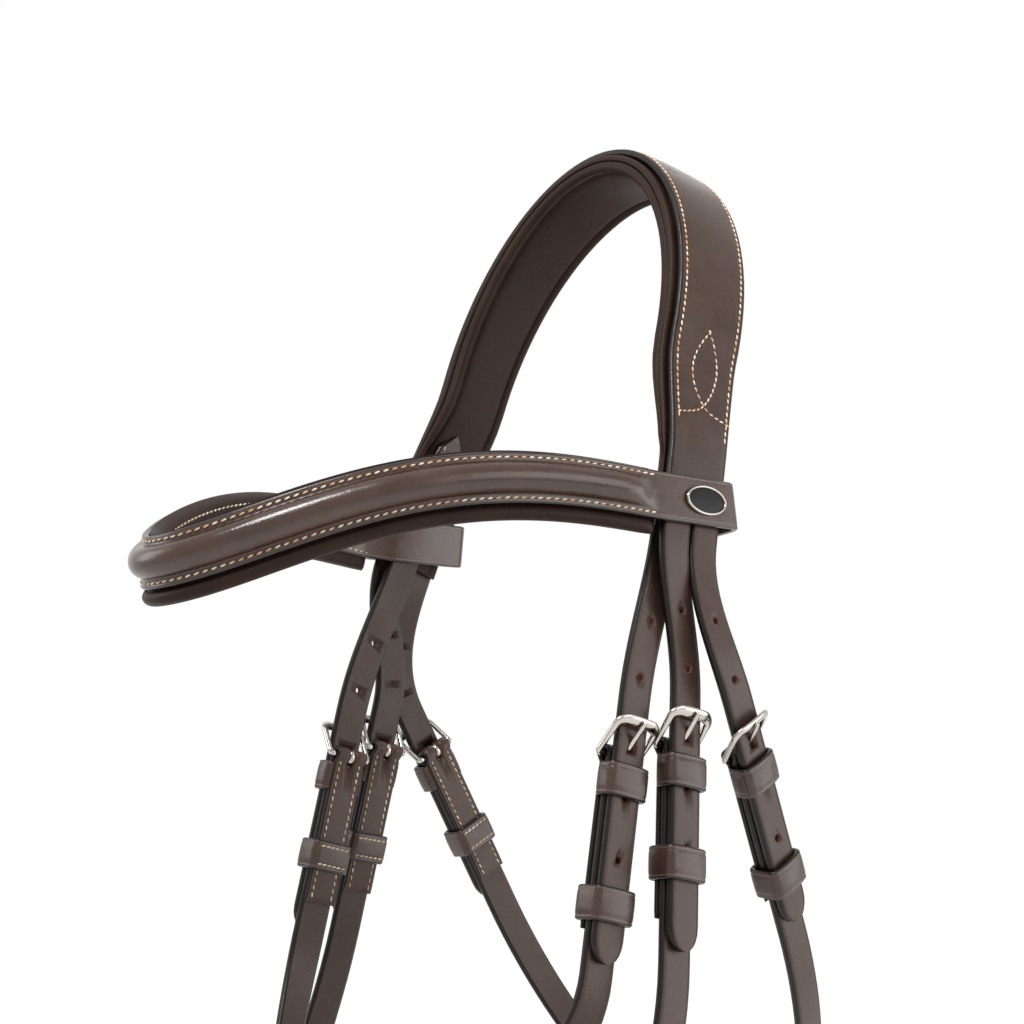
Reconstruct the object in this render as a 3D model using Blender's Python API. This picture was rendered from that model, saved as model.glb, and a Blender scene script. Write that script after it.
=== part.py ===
"""Horse bridle with a padded headpiece, a raised browband and a raised noseband.

Units are metres and +Z is up. The horse's nose points to -Y and its left side is +X, the near side.
The origin is the middle of the headpiece's underside, which lies on the horse's poll.
"""

import math
from dataclasses import dataclass

import bmesh
import bpy
from mathutils import Vector

# Clearances
GAP = 0.0003
LOOSE_GAP = 0.0008
CUT_OVERRUN = 0.0040
HOLE_OVERRUN = 0.0010

# Leather stock
STRAP_WIDTH = 0.0138
BILLET_THICKNESS = 0.0030
LOWER_THICKNESS = 0.0026
SKIVED_THICKNESS = 0.0016
SPLIT_WIDTH = 0.0006

# Headpiece
POLL_WIDTH = 0.0330
CAP_HALF_SPAN = 0.0665
LEG_HALF_SPAN = 0.0740
CAP_RISE = 0.0985
LEG_RISE = 0.0600
SPLIT_DROP = 0.0120
HEAD_TILT = math.radians(18)
# The sections turn above the loops, so that the headpiece is narrower along its front edge
HEAD_FLARE = math.radians(10)
HEAD_FLARE_RISE = 0.0130

# Headpiece padding
PAD_THICKNESS = 0.0070
PAD_END_THICKNESS = 0.0026
PAD_FRONT_OVERHANG = 0.0030
PAD_REAR_OVERHANG = 0.0030
PAD_FLAP_RISE = 0.0110
PAD_FLARE_RISE = 0.0200
PAD_LINING_THICKNESS = 0.0014
PAD_RIM_WIDTH = 0.0040
PAD_OVERHANG_END_SHARE = 0.60
# Each pair is a share of the rim's width in from its edge and of the padding's thickness down
PAD_RIM_SHARES = ((0.90, 0.00), (0.25, 0.06), (0.00, 0.42), (0.28, 0.86), (1.10, 1.00))

# Browband
BAND_HALF_HEIGHT = 0.0085
BAND_THICKNESS = 0.0022
ROLL_HALF_HEIGHT = 0.0052
ROLL_RISE = 0.0042
LINING_THICKNESS = 0.0040
LINING_ROLL = 0.0046
LINING_BEVEL_SHARES = (0.60, 0.55)
# Each pair is a share of the roll's height below the band and of the lining's thickness
LINING_ROLL_SHARES = ((0.50, -0.95), (1.00, -0.52), (0.85, 0.25), (0.40, 0.40), (0.00, 0.20))
# Each pair is a share of the roll's half height and of its rise
ROLL_SHARES = ((-0.70, 0.66), (0.00, 1.00), (0.70, 0.66))
CORE_SHARES = ((-0.70, 0.62), (0.00, 1.00), (0.70, 0.62))
ROLL_WALL_SHARE = 0.33
BROWBAND_DEPTH = 0.1640
BROWBAND_DIP = 0.0270
BROWBAND_SWELL = 0.0070
LOOP_FLAP_LENGTH = 0.0280
LOOP_CORNER_RADIUS = 0.0025
LOOP_CORNER_STEPS = 3
LOOP_FLAP_SHARES = (0.60, 1.00)

# Oval badge
BADGE_LENGTH = 0.0200
BADGE_HEIGHT = 0.0105
BADGE_THICKNESS = 0.0012
BADGE_RIM = 0.0009
BADGE_SET_BACK = 0.0015
BADGE_SHOULDER_SHARE = 0.70
BADGE_DOME_SHARES = (0.50, 0.75)

# Noseband billet sewn inside the headpiece
NOSE_BILLET_RISE = 0.0450
NOSE_BILLET_FORWARD = 0.0050

# Buckles
BAR_RADIUS = 0.00125
ARM_RADIUS = 0.00100
TOP_BAR_HALF_WIDTH = 0.0017
TOP_BAR_HALF_THICKNESS = 0.0011
BUCKLE_REACH = 0.0105
TONGUE_WIDTH = 0.0024
TONGUE_THICKNESS = 0.0014
TONGUE_OVERHANG = 0.0022
TONGUE_LIFT = math.radians(12)
TONGUE_TAPER_SHARES = (1.00, 0.85, 0.60)

# Keepers, runners and the straps through them
KEEPER_LENGTH = 0.0110
KEEPER_THICKNESS = 0.0017
KEEPER_PLACE = 0.0085
TAIL_LENGTH = 0.0560
TAIL_MEET = 0.0030
BILLET_TIP = 0.0660
STRAIGHT_LENGTH = 0.0700
TIP_LENGTH = 0.0080
HOLE_RADIUS = 0.0013
HOLE_PITCH = 0.0200
TONGUE_HOLE_RISE = 0.0064
BILLET_LEAD = 0.0180

# Places below the browband's loops
BUCKLE_DROP = 0.0845
RUNNER_PLACE = 0.0385
LOW_RUNNER_PLACE = 0.0480
BIT_DROP = 0.3350
BIT_HALF_SPAN = 0.0680
BIT_FORWARD = 0.0800
BIT_OUT_SLOPE_SHARE = -0.16
BIT_BACK_SLOPE_SHARE = -0.20
BIT_EYE_RADIUS = 0.0060
BIT_RETURN_LENGTH = 0.0560
BIT_KEEPER_PLACE = 0.0120
BIT_KEEPER_PITCH = 0.0180
STUD_PLACE = 0.0480
STUD_RADIUS = 0.0016
STUD_HEAD_RADIUS = 0.0032
STUD_HEAD_THICKNESS = 0.0010
THROAT_DROP = 0.2400
THROAT_BACK = 0.1000
THROAT_LEAN_SHARE = 0.40

# Noseband and chin strap
NOSEBAND_DROP = 0.2350
NOSEBAND_BACK = 0.0450
NOSEBAND_HALF_SPAN = 0.0560
NOSEBAND_DEPTH = 0.1300
NOSE_LAP_FORWARD = 0.0300
CHIN_BUCKLE_BACK = 0.0480
CHIN_LAP_LENGTH = 0.0140
CHIN_TIP = 0.0440
CHIN_TAIL_LENGTH = 0.0400
CHIN_RUNNER_PLACE = 0.0270

# Shapes that the bends share
CAP_POWER = 1.00
BEZIER_REACH_SHARE = 0.36
SEMICIRCLE_REACH_SHARE = 0.66
BAND_BLUNT_SHARE = 0.15
BAND_FRONT_POWER = 1.40
DIP_POWER = 3.26
TURN_STEP = math.radians(0.5)
SHARP_ANGLE = math.radians(40)

BAND_STEPS = 36
CORE_STEPS = 28
BEND_STEPS = 8
BILLET_STEPS = 6
FOLD_STEPS = 6
EYE_STEPS = 7
CURL_STEPS = 6
CURL_TURN = math.radians(250)
WIRE_SIDES = 8
HOLE_SIDES = 8
OVAL_STEPS = 24
TIP_SHARES = (0.82, 0.40)
HOLES_ABOVE = 2
HOLES_BELOW = 2

UP = Vector((0, 0, 1))
OUT = Vector((1, 0, 0))
BACK = Vector((0, 1, 0))


@dataclass(frozen=True)
class Surface:
    """A plain material's colour, roughness and metallic value."""

    colour: tuple
    roughness: float
    metallic: float = 0.0


LEATHER = Surface((0.105, 0.070, 0.056, 1.0), 0.40)
LINING_LEATHER = Surface((0.052, 0.031, 0.024, 1.0), 0.55)
FOAM = Surface((0.30, 0.28, 0.26, 1.0), 0.80)
STEEL = Surface((0.60, 0.58, 0.55, 1.0), 0.25, 1.0)
DARK_ENAMEL = Surface((0.02, 0.02, 0.02, 1.0), 0.40)


@dataclass
class Frame:
    """A place on a strap's middle line: along is its run, out its outer side."""

    point: Vector
    along: Vector
    out: Vector

    @property
    def side(self):
        return self.out.cross(self.along)

    def at(self, run, rise, across):
        return self.point + self.along * run + self.out * rise + self.side * across


@dataclass(frozen=True)
class Station:
    """A buckle's place on the near side, from the middle of the browband's loop.

    Its places out and back are shares of the strap's width, so the buckles keep clear of each other,
    and its drop is a share of the buckles' common drop.
    """

    name: str
    out_share: float
    back_share: float
    drop_share: float
    out_slope_share: float
    back_slope_share: float


STATIONS = (
    Station("cheek", 0.429, -0.889, 0.990, 0.114, -0.170),
    Station("throat", 0.729, 1.217, 1.000, -0.113, 0.526),
    Station("noseband", 0.076, -2.471, 1.025, 0.040, -0.223),
)
# Runners that are pushed further down their straps than the others
LOW_RUNNERS = ("throat_near", "noseband_near")
STATION_BY_NAME = {station.name: station for station in STATIONS}
SIDES = (("near", 1), ("far", -1))


# Meshes

def material(name, surface):
    made = bpy.data.materials.new(name)
    made.use_nodes = True
    shader = made.node_tree.nodes["Principled BSDF"]
    shader.inputs["Base Color"].default_value = surface.colour
    shader.inputs["Roughness"].default_value = surface.roughness
    shader.inputs["Metallic"].default_value = surface.metallic
    made.diffuse_color = surface.colour
    return made


def finish(name, bm, surface, origin=None):
    """Make an object of the mesh, with its origin at the given place."""
    bmesh.ops.recalc_face_normals(bm, faces=bm.faces)
    if origin is not None:
        bmesh.ops.translate(bm, vec=-origin, verts=bm.verts)
    mesh = bpy.data.meshes.new(name)
    bm.to_mesh(mesh)
    bm.free()
    mesh.shade_smooth()
    mesh.set_sharp_from_angle(angle=SHARP_ANGLE)
    made = bpy.data.objects.new(name, mesh)
    bpy.context.scene.collection.objects.link(made)
    if origin is not None:
        made.location = origin
    mesh.materials.append(material(name, surface))
    return made


def bridge(bm, first, second):
    for i in range(len(first)):
        j = (i + 1) % len(first)
        bm.faces.new((first[i], first[j], second[j], second[i]))


def loft(bm, rings, closed=False):
    """Skin a row of rings that have as many points each."""
    made = [[bm.verts.new(point) for point in ring] for ring in rings]
    for first, second in zip(made, made[1:]):
        bridge(bm, first, second)
    if closed:
        bridge(bm, made[-1], made[0])
    else:
        bm.faces.new(made[0])
        bm.faces.new(made[-1][::-1])
    return made


def section(frame, outline):
    """The points of an outline given as pairs of across and rise."""
    return [frame.at(0, rise, across) for across, rise in outline]


def flat_outline(width, thickness):
    half, rise = width / 2, thickness / 2
    return [(-half, rise), (half, rise), (half, -rise), (-half, -rise)]


def round_outline(half_across, half_rise, count):
    turns = [2 * math.pi * i / count for i in range(count)]
    return [(half_across * math.cos(turn), half_rise * math.sin(turn)) for turn in turns]


def mirrored(points, side):
    return [Vector((side * point.x, point.y, point.z)) for point in points]


def cut(target, cutter_rings):
    """Cut the solids lofted from each list of rings out of the target."""
    bm = bmesh.new()
    for rings in cutter_rings:
        loft(bm, rings)
    cutter = finish(target.name + "_cutter", bm, STEEL)
    cutter.hide_render = True
    cutter.display_type = "WIRE"
    boolean = target.modifiers.new("Holes", "BOOLEAN")
    boolean.operation = "DIFFERENCE"
    boolean.solver = "EXACT"
    boolean.object = cutter


# Paths

def unit_out(along, out):
    """The part of out that is square to the run."""
    return (out - along * out.dot(along)).normalized()


def bezier(start, end, steps, reach_share=BEZIER_REACH_SHARE):
    """Frames along a smooth bend, without its first one."""
    reach = (end.point - start.point).length * reach_share
    p0 = start.point
    p1 = start.point + start.along * reach
    p2 = end.point - end.along * reach
    p3 = end.point
    frames = []
    for i in range(1, steps + 1):
        t = i / steps
        u = 1 - t
        point = p0 * u**3 + p1 * (3 * u * u * t) + p2 * (3 * u * t * t) + p3 * t**3
        slope = (p1 - p0) * (u * u) + (p2 - p1) * (2 * u * t) + (p3 - p2) * (t * t)
        along = slope.normalized()
        frames.append(Frame(point, along, unit_out(along, start.out * u + end.out * t)))
    return frames


def shifted(frame, run=0.0, rise=0.0, across=0.0):
    return Frame(frame.at(run, rise, across), frame.along, frame.out)


def mirror_frame(frame, reverse=False):
    flip = Vector((-1, 1, 1))
    along = frame.along * flip
    return Frame(frame.point * flip, -along if reverse else along, frame.out * flip)


# Headpiece path

def head_profile(cap_steps=24, leg_steps=18):
    """Pairs of across and rise above the browband's loops, from the far leg's split to the near leg's."""
    leg_step = (LEG_RISE + SPLIT_DROP) / leg_steps
    near_leg = [leg_place(LEG_RISE - leg_step * i) for i in range(1, leg_steps + 1)]
    cap = []
    for i in range(cap_steps):
        turn = math.pi * (i + 0.5) / cap_steps - math.pi / 2
        side = math.sin(turn)
        across = CAP_HALF_SPAN * math.copysign(abs(side) ** CAP_POWER, side)
        cap.append((across, LEG_RISE + CAP_RISE * math.cos(turn) ** CAP_POWER))
    far_leg = [(-across, rise) for across, rise in reversed(near_leg)]
    return far_leg + cap + near_leg


def leg_place(height):
    """Across and rise of the near leg's inner face, at a height above the browband's loops."""
    share = height / LEG_RISE
    return LEG_HALF_SPAN + (CAP_HALF_SPAN - LEG_HALF_SPAN) * share, height


def profile_run(profile, index):
    """The unit run of the profile at one of its places."""
    before = profile[max(index - 1, 0)]
    after = profile[min(index + 1, len(profile) - 1)]
    across, rise = after[0] - before[0], after[1] - before[1]
    length = math.hypot(across, rise)
    return across / length, rise / length


def head_rise():
    """From the browband's loops up to the padding's underside, along the headpiece's plane."""
    profile = head_profile()
    middle = len(profile) // 2
    depth = POLL_WIDTH / 2 * math.tan(HEAD_FLARE) + (PAD_THICKNESS + GAP) / math.cos(HEAD_FLARE)
    return profile[middle][1] - depth * profile_run(profile, middle)[0]


HEAD_RISE = head_rise()


def tilted(across, rise):
    """A place or a direction in the headpiece's plane, which leans back."""
    return Vector((across, rise * math.sin(HEAD_TILT), rise * math.cos(HEAD_TILT)))


def flared(frame, height):
    """The frame turned about its section's rear edge, so that its front edge leans inwards."""
    turn = HEAD_FLARE * smooth(height, HEAD_FLARE_RISE, LEG_RISE)
    side = frame.side * math.cos(turn) + frame.out * math.sin(turn)
    out = frame.out * math.cos(turn) - frame.side * math.sin(turn)
    return Frame(frame.point + (frame.side - side) * (POLL_WIDTH / 2), frame.along, out)


def profile_frame(profile, index):
    across, rise = profile[index]
    run = profile_run(profile, index)
    frame = Frame(tilted(across, rise - HEAD_RISE), tilted(*run), tilted(-run[1], run[0]))
    return flared(frame, rise)


def head_frames():
    profile = head_profile()
    return [profile_frame(profile, index) for index in range(len(profile))]


def leg_frame(height):
    """The near leg's inner face, running down."""
    across, rise = leg_place(height)
    run = Vector((LEG_HALF_SPAN - CAP_HALF_SPAN, -LEG_RISE)).normalized()
    frame = Frame(tilted(across, rise - HEAD_RISE), tilted(run.x, run.y), tilted(-run.y, run.x))
    return flared(frame, height)


def frame_height(frame):
    """Height above the browband's loops, along the headpiece's plane."""
    return frame.point.z / math.cos(HEAD_TILT) + HEAD_RISE


def smooth(value, low, high):
    """0 below low, 1 above high, and a soft step between."""
    share = min(max((value - low) / (high - low), 0.0), 1.0)
    return share * share * (3 - 2 * share)


def head_width(frame):
    share = min(max(frame_height(frame) / HEAD_RISE, 0.0), 1.0)
    narrow = 2 * STRAP_WIDTH + SPLIT_WIDTH
    return narrow + (POLL_WIDTH - narrow) * share


def station_frame(station):
    """The billet's inner face over the buckle's lower bar, on the near side."""
    place = OUT * station.out_share * STRAP_WIDTH + BACK * station.back_share * STRAP_WIDTH
    place -= UP * station.drop_share * BUCKLE_DROP
    along = Vector((station.out_slope_share, station.back_slope_share, -1)).normalized()
    return Frame(leg_frame(0).point + place, along, unit_out(along, OUT))


# Raised bands: the browband and the noseband

@dataclass(frozen=True)
class Band:
    """A raised padded band that runs round the front of the head.

    Its places are turns: -90 degrees at the far end, 0 at the front and 90 at the near end.
    """

    name: str
    centre: Vector
    half_span: float
    depth: float
    dip: float
    swell: float
    lean_share: float
    full_roll_turn: float
    no_roll_turn: float
    lining_turn: float


def band_point(turn, band):
    side, front = math.sin(turn), max(math.cos(turn), 0.0)
    across = band.half_span * (side * (1 - BAND_BLUNT_SHARE) + side**3 * BAND_BLUNT_SHARE)
    back = -band.depth * front ** BAND_FRONT_POWER
    rise = band.swell * math.sin(2 * turn) ** 2 * abs(side) - band.dip * front ** DIP_POWER
    return band.centre + Vector((across, back, rise))


def band_frame(turn, band):
    """The back of the band's face leather, whose ends run straight back."""
    if math.isclose(abs(turn), math.pi / 2):
        along = BACK * math.copysign(1, turn)
    else:
        along = (band_point(turn + TURN_STEP, band) - band_point(turn - TURN_STEP, band)).normalized()
    upright = Vector((-band.lean_share * math.sin(turn) ** 3, 0, 1))
    return Frame(band_point(turn, band), along, along.cross(upright).normalized())


def band_turn(back, band):
    """The near side's turn at a distance in front of the band's ends."""
    return math.acos((back / band.depth) ** (1 / BAND_FRONT_POWER))


LOOP_CENTRE = Vector((0, leg_frame(0).point.y, leg_frame(0).point.z))
LEG_HALF_WIDTH = (STRAP_WIDTH + SPLIT_WIDTH / 2) / math.cos(HEAD_TILT)
LOOP_REACH = LEG_HALF_WIDTH + BAND_HALF_HEIGHT * math.tan(HEAD_TILT) + LOOSE_GAP
BROWBAND = Band(
    name="browband",
    centre=LOOP_CENTRE - BACK * LOOP_REACH,
    half_span=LEG_HALF_SPAN + BILLET_THICKNESS + LOOSE_GAP,
    depth=BROWBAND_DEPTH - LOOP_REACH,
    dip=BROWBAND_DIP,
    swell=BROWBAND_SWELL,
    lean_share=(LEG_HALF_SPAN - CAP_HALF_SPAN) / LEG_RISE,
    full_roll_turn=math.radians(75),
    no_roll_turn=math.radians(85),
    lining_turn=math.radians(85),
)
NOSEBAND = Band(
    name="noseband",
    centre=LOOP_CENTRE - BACK * NOSEBAND_BACK - UP * NOSEBAND_DROP,
    half_span=NOSEBAND_HALF_SPAN,
    depth=NOSEBAND_DEPTH,
    dip=0.0,
    swell=0.0,
    lean_share=0.0,
    full_roll_turn=math.radians(54),
    no_roll_turn=math.radians(62),
    lining_turn=math.radians(86),
)


def chin_frame():
    """The chin strap's inner face over its buckle's lower bar, behind the noseband's near end."""
    end = band_frame(math.pi / 2, NOSEBAND)
    rise = BAND_THICKNESS + GAP + LOWER_THICKNESS + GAP
    return Frame(end.at(CHIN_BUCKLE_BACK, rise, 0), -end.along, end.out)


def band_outline(roll):
    """The face leather's outline: across runs up the band, and roll is 1 where it is fully raised."""
    half, thick, edge = BAND_HALF_HEIGHT, BAND_THICKNESS, ROLL_HALF_HEIGHT
    inner = edge - thick * roll * ROLL_WALL_SHARE
    back = [(-share * inner, rise * (ROLL_RISE - GAP) * roll) for share, rise in ROLL_SHARES]
    front = [(share * edge, thick + rise * ROLL_RISE * roll) for share, rise in ROLL_SHARES]
    return ([(-half, thick), (-edge, thick)] + front + [(edge, thick), (half, thick)]
            + [(half, 0.0), (inner, 0.0)] + back + [(-inner, 0.0), (-half, 0.0)])


def core_outline():
    """The cord inside the raised roll, clear of the leather over it."""
    edge = ROLL_HALF_HEIGHT - BAND_THICKNESS * ROLL_WALL_SHARE - 2 * GAP
    rise = ROLL_RISE - 3 * GAP
    arch = [(share * edge, height * rise) for share, height in CORE_SHARES]
    return [(-edge + GAP, GAP)] + arch + [(edge - GAP, GAP)]


def lining_outline():
    """The padded lining, with the rolled edge below the face leather."""
    half, thick = BAND_HALF_HEIGHT, LINING_THICKNESS
    low = half + GAP
    bevel_height, bevel_depth = LINING_BEVEL_SHARES
    body = [(half, -GAP), (half, -GAP - bevel_depth * thick), (bevel_height * half, -GAP - thick),
            (-half, -GAP - thick)]
    roll = [(-low - down * LINING_ROLL, rise * thick) for down, rise in LINING_ROLL_SHARES]
    return body + roll + [(-low, -GAP)]


def band_turns(limit, steps):
    return [limit * (2 * i / steps - 1) for i in range(steps + 1)]


def band_roll(turn, band):
    """How far the face is raised there: 1 along the front and 0 at the ends."""
    return 1 - smooth(abs(turn), band.full_roll_turn, band.no_roll_turn)


def make_band_core(band):
    bm = bmesh.new()
    turns = band_turns(band.full_roll_turn, CORE_STEPS)
    loft(bm, [section(band_frame(turn, band), core_outline()) for turn in turns])
    finish(band.name + "_core", bm, FOAM)


def make_band_lining(band):
    bm = bmesh.new()
    turns = band_turns(band.lining_turn, BAND_STEPS)
    loft(bm, [section(band_frame(turn, band), lining_outline()) for turn in turns])
    finish(band.name + "_lining", bm, LINING_LEATHER)


def face_rings(band):
    turns = band_turns(math.pi / 2, BAND_STEPS)
    return [section(band_frame(turn, band), band_outline(band_roll(turn, band))) for turn in turns]


def loop_rings():
    """The browband's near loop: back along the leg, round its rear edge and forward inside."""
    end = band_frame(math.pi / 2, BROWBAND)
    depth = 2 * LOOSE_GAP + BILLET_THICKNESS + GAP + PAD_END_THICKNESS + GAP + LOWER_THICKNESS
    reach, radius = 2 * LOOP_REACH, LOOP_CORNER_RADIUS
    places = []
    for rise, start in ((-radius, math.pi / 2), (radius - depth, 0.0)):
        for step in range(LOOP_CORNER_STEPS + 1):
            turn = start - math.pi / 2 * step / LOOP_CORNER_STEPS
            places.append((reach - radius + radius * math.cos(turn), rise + radius * math.sin(turn), turn))
    places.append((0.0, -depth, -math.pi / 2))
    rings = []
    for run, rise, turn in places:
        out = end.along * math.cos(turn) + end.out * math.sin(turn)
        along = end.along * math.sin(turn) - end.out * math.cos(turn)
        rings.append(Frame(end.at(run, rise, 0), along, out))
    flap_depth = GAP + LINING_THICKNESS + GAP
    for share in LOOP_FLAP_SHARES:
        band = band_frame(band_turn(LOOP_FLAP_LENGTH * share, BROWBAND), BROWBAND)
        rings.append(Frame(band.at(0, -flap_depth, 0), -band.along, -band.out))
    return [section(frame, band_outline(0.0)) for frame in rings]


def make_browband_face():
    loop = loop_rings()
    far_loop = [mirrored(ring, -1) for ring in reversed(loop)]
    bm = bmesh.new()
    loft(bm, far_loop + face_rings(BROWBAND) + loop)
    finish("browband_face", bm, LEATHER)


def make_noseband_face():
    bm = bmesh.new()
    loft(bm, face_rings(NOSEBAND))
    finish("noseband_face", bm, LEATHER)


def make_badge():
    """A plain oval badge on the near loop."""
    end = band_frame(math.pi / 2, BROWBAND)
    seat = shifted(end, run=LOOP_REACH + BADGE_SET_BACK, rise=BAND_THICKNESS + GAP)
    rim, shoulder = BADGE_RIM, BADGE_THICKNESS * BADGE_SHOULDER_SHARE

    def oval(shrink, rise):
        outline = round_outline(BADGE_LENGTH / 2 - shrink, BADGE_HEIGHT / 2 - shrink, OVAL_STEPS)
        return [seat.at(run, rise, across) for run, across in outline]

    bm = bmesh.new()
    outside = [oval(0, 0), oval(0, shoulder), oval(rim / 2, BADGE_THICKNESS)]
    loft(bm, outside + [oval(rim, shoulder), oval(rim, 0)], closed=True)
    finish("badge_rim", bm, STEEL)
    inner = rim + GAP
    edge_rise, dome_rise = (BADGE_THICKNESS * share for share in BADGE_DOME_SHARES)
    bm = bmesh.new()
    loft(bm, [oval(inner, 0), oval(inner, edge_rise), oval(inner + 2 * rim, dome_rise)])
    finish("badge_face", bm, DARK_ENAMEL)


# Headpiece

def strap_outline(width, low, high):
    return [(-width / 2, high), (width / 2, high), (width / 2, low), (-width / 2, low)]


def tip_frames(seat, tip):
    """The last frames of a billet whose tip is a run past the buckle."""
    return [shifted(seat, run=run) for run in (tip - TIP_LENGTH, tip - TIP_LENGTH / 2, tip)]


def billet_frames(station, start):
    """From the start to the buckle on a bend, then straight to the billet's tip."""
    seat = station_frame(station)
    frames = [start] + bezier(start, shifted(seat, run=-BILLET_LEAD), BILLET_STEPS)
    return frames + tip_frames(seat, BILLET_TIP)


def billet_widths(frames):
    """Full width down to the tip, which is rounded."""
    return [STRAP_WIDTH] * (len(frames) - 2) + [STRAP_WIDTH * share for share in TIP_SHARES]


def billet_rings(station, start, thickness):
    frames = billet_frames(station, start)
    return [section(frame, strap_outline(width, 0.0, thickness))
            for frame, width in zip(frames, billet_widths(frames))]


def back_along(frames, distance):
    """The frame that lies a distance before the end of a row of frames."""
    left = distance
    for after, before in zip(reversed(frames), reversed(frames[:-1])):
        length = (after.point - before.point).length
        if left <= length:
            share = left / length
            return Frame(after.point.lerp(before.point, share), after.along, after.out)
        left -= length
    return frames[0]


def hole_rings(frame, thickness):
    """A hole through a strap whose inner face is at the frame."""
    outline = round_outline(HOLE_RADIUS, HOLE_RADIUS, HOLE_SIDES)
    return [[frame.at(run, rise, across) for run, across in outline]
            for rise in (-HOLE_OVERRUN, thickness + HOLE_OVERRUN)]


def tongue_geometry():
    """The bar's centre, the shank's run and its outer side, in the buckle's plane of run and rise."""
    bar = Vector((0, -(GAP + SKIVED_THICKNESS + GAP + BAR_RADIUS)))
    top = Vector((-BUCKLE_REACH, BILLET_THICKNESS + 2 * GAP + TOP_BAR_HALF_THICKNESS))
    run = (top - bar).normalized()
    return bar, run, Vector((run.y, -run.x)), (top - bar).length


def tongue_radius():
    return BAR_RADIUS + GAP + TONGUE_THICKNESS / 2


def tongue_hole_rings(seat):
    """The slanted hole that the tongue passes through, long enough for its lift."""
    bar, run, out, length = tongue_geometry()
    clear = TONGUE_THICKNESS / 2 + LOOSE_GAP / 2

    def spot(offset, distance, lift):
        arm = out * offset + run * distance
        turned = Vector((arm.x * math.cos(lift) + arm.y * math.sin(lift),
                         arm.y * math.cos(lift) - arm.x * math.sin(lift)))
        return bar + turned

    low, high = tongue_radius() - clear, tongue_radius() + clear
    corners = [spot(low, 0, 0), spot(low, length, 0)]
    corners += [spot(high, length, TONGUE_LIFT), spot(high, 0, TONGUE_LIFT)]
    half = TONGUE_WIDTH / 2 + LOOSE_GAP / 2
    return [[seat.at(corner.x, corner.y, across) for corner in corners] for across in (-half, half)]


def billet_cuts(station, start, thickness):
    """The round holes and the tongue's hole of one billet."""
    seat = station_frame(station)
    lead = [start] + bezier(start, shifted(seat, run=-BILLET_LEAD), BILLET_STEPS)
    cuts = [tongue_hole_rings(seat)]
    for count in range(1, HOLES_ABOVE + 1):
        place = back_along(lead, TONGUE_HOLE_RISE + HOLE_PITCH * count - BILLET_LEAD)
        cuts.append(hole_rings(place, thickness))
    for count in range(1, HOLES_BELOW + 1):
        cuts.append(hole_rings(shifted(seat, run=HOLE_PITCH * count - TONGUE_HOLE_RISE), thickness))
    return cuts


def billet_starts():
    """Where the cheek's and the throat's billets leave the near leg."""
    end = head_frames()[-1]
    offset = (STRAP_WIDTH + SPLIT_WIDTH) / 2
    return {"cheek": shifted(end, across=-offset), "throat": shifted(end, across=offset)}


def both_sides(rings_list):
    return rings_list + [[mirrored(ring, -1) for ring in rings] for rings in rings_list]


def make_crown_strap():
    """The outer leather of the headpiece, which splits into a cheek and a throat billet on each side."""
    frames = head_frames()
    slit = SPLIT_WIDTH / 2
    bm = bmesh.new()
    rows = []
    for frame in frames:
        half, high = head_width(frame) / 2, BILLET_THICKNESS
        outline = [(-half, high), (-slit, high), (slit, high), (half, high),
                   (half, 0.0), (slit, 0.0), (-slit, 0.0), (-half, 0.0)]
        rows.append([bm.verts.new(point) for point in section(frame, outline)])
    for first, second in zip(rows, rows[1:]):
        bridge(bm, first, second)
    starts = billet_starts()
    for row, side in ((rows[-1], 1), (rows[0], -1)):
        bm.faces.new((row[1], row[2], row[5], row[6]))
        for name, corners in (("cheek", (0, 1, 6, 7)), ("throat", (2, 3, 4, 5))):
            rings = billet_rings(STATION_BY_NAME[name], starts[name], BILLET_THICKNESS)[1:]
            before = [row[corner] for corner in corners]
            for ring in rings:
                made = [bm.verts.new(point) for point in mirrored(ring, side)]
                bridge(bm, before, made)
                before = made
            bm.faces.new(before)
    strap = finish("crown_strap", bm, LEATHER)
    cuts = []
    for name, start in starts.items():
        cuts += billet_cuts(STATION_BY_NAME[name], start, BILLET_THICKNESS)
    cut(strap, both_sides(cuts))


def pad_frames():
    """The headpiece's frames, from one end of the lining's flap to the other."""
    near_end = leg_frame(-PAD_FLAP_RISE)
    far_end = mirror_frame(near_end, reverse=True)
    return [far_end] + head_frames()[1:-1] + [near_end]


def pad_shape(frame):
    """Front and rear reach and thickness of the padding at a frame."""
    height = frame_height(frame)
    share = min(max(height / HEAD_RISE, 0.0), 1.0)
    flare = smooth(height, PAD_FLAP_RISE, PAD_FLARE_RISE)
    half = head_width(frame) / 2
    overhang_share = flare * (PAD_OVERHANG_END_SHARE + (1 - PAD_OVERHANG_END_SHARE) * share)
    front = half - GAP + PAD_FRONT_OVERHANG * overhang_share
    rear = half - GAP + PAD_REAR_OVERHANG * overhang_share
    full_share = smooth(height, PAD_FLAP_RISE, LEG_RISE)
    thick = PAD_END_THICKNESS + (PAD_THICKNESS - PAD_END_THICKNESS) * full_share
    return front, rear, thick


def pad_lining_outline(frame):
    """A tray of lining leather with a rolled rim on each long side."""
    front, rear, thick = pad_shape(frame)
    rim, floor = PAD_RIM_WIDTH, thick - PAD_LINING_THICKNESS

    def rim_points(edge, sign):
        return [(edge - sign * rim * inset, -GAP - thick * depth) for inset, depth in PAD_RIM_SHARES]

    return (rim_points(-front, -1) + rim_points(rear, 1)[::-1]
            + [(rear - rim, -GAP - floor), (-front + rim, -GAP - floor)])


def pad_core_outline(frame):
    front, rear, thick = pad_shape(frame)
    inset, floor = PAD_RIM_WIDTH + GAP, thick - PAD_LINING_THICKNESS
    return [(-front + inset, -GAP), (rear - inset, -GAP), (rear - inset, -floor), (-front + inset, -floor)]


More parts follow.
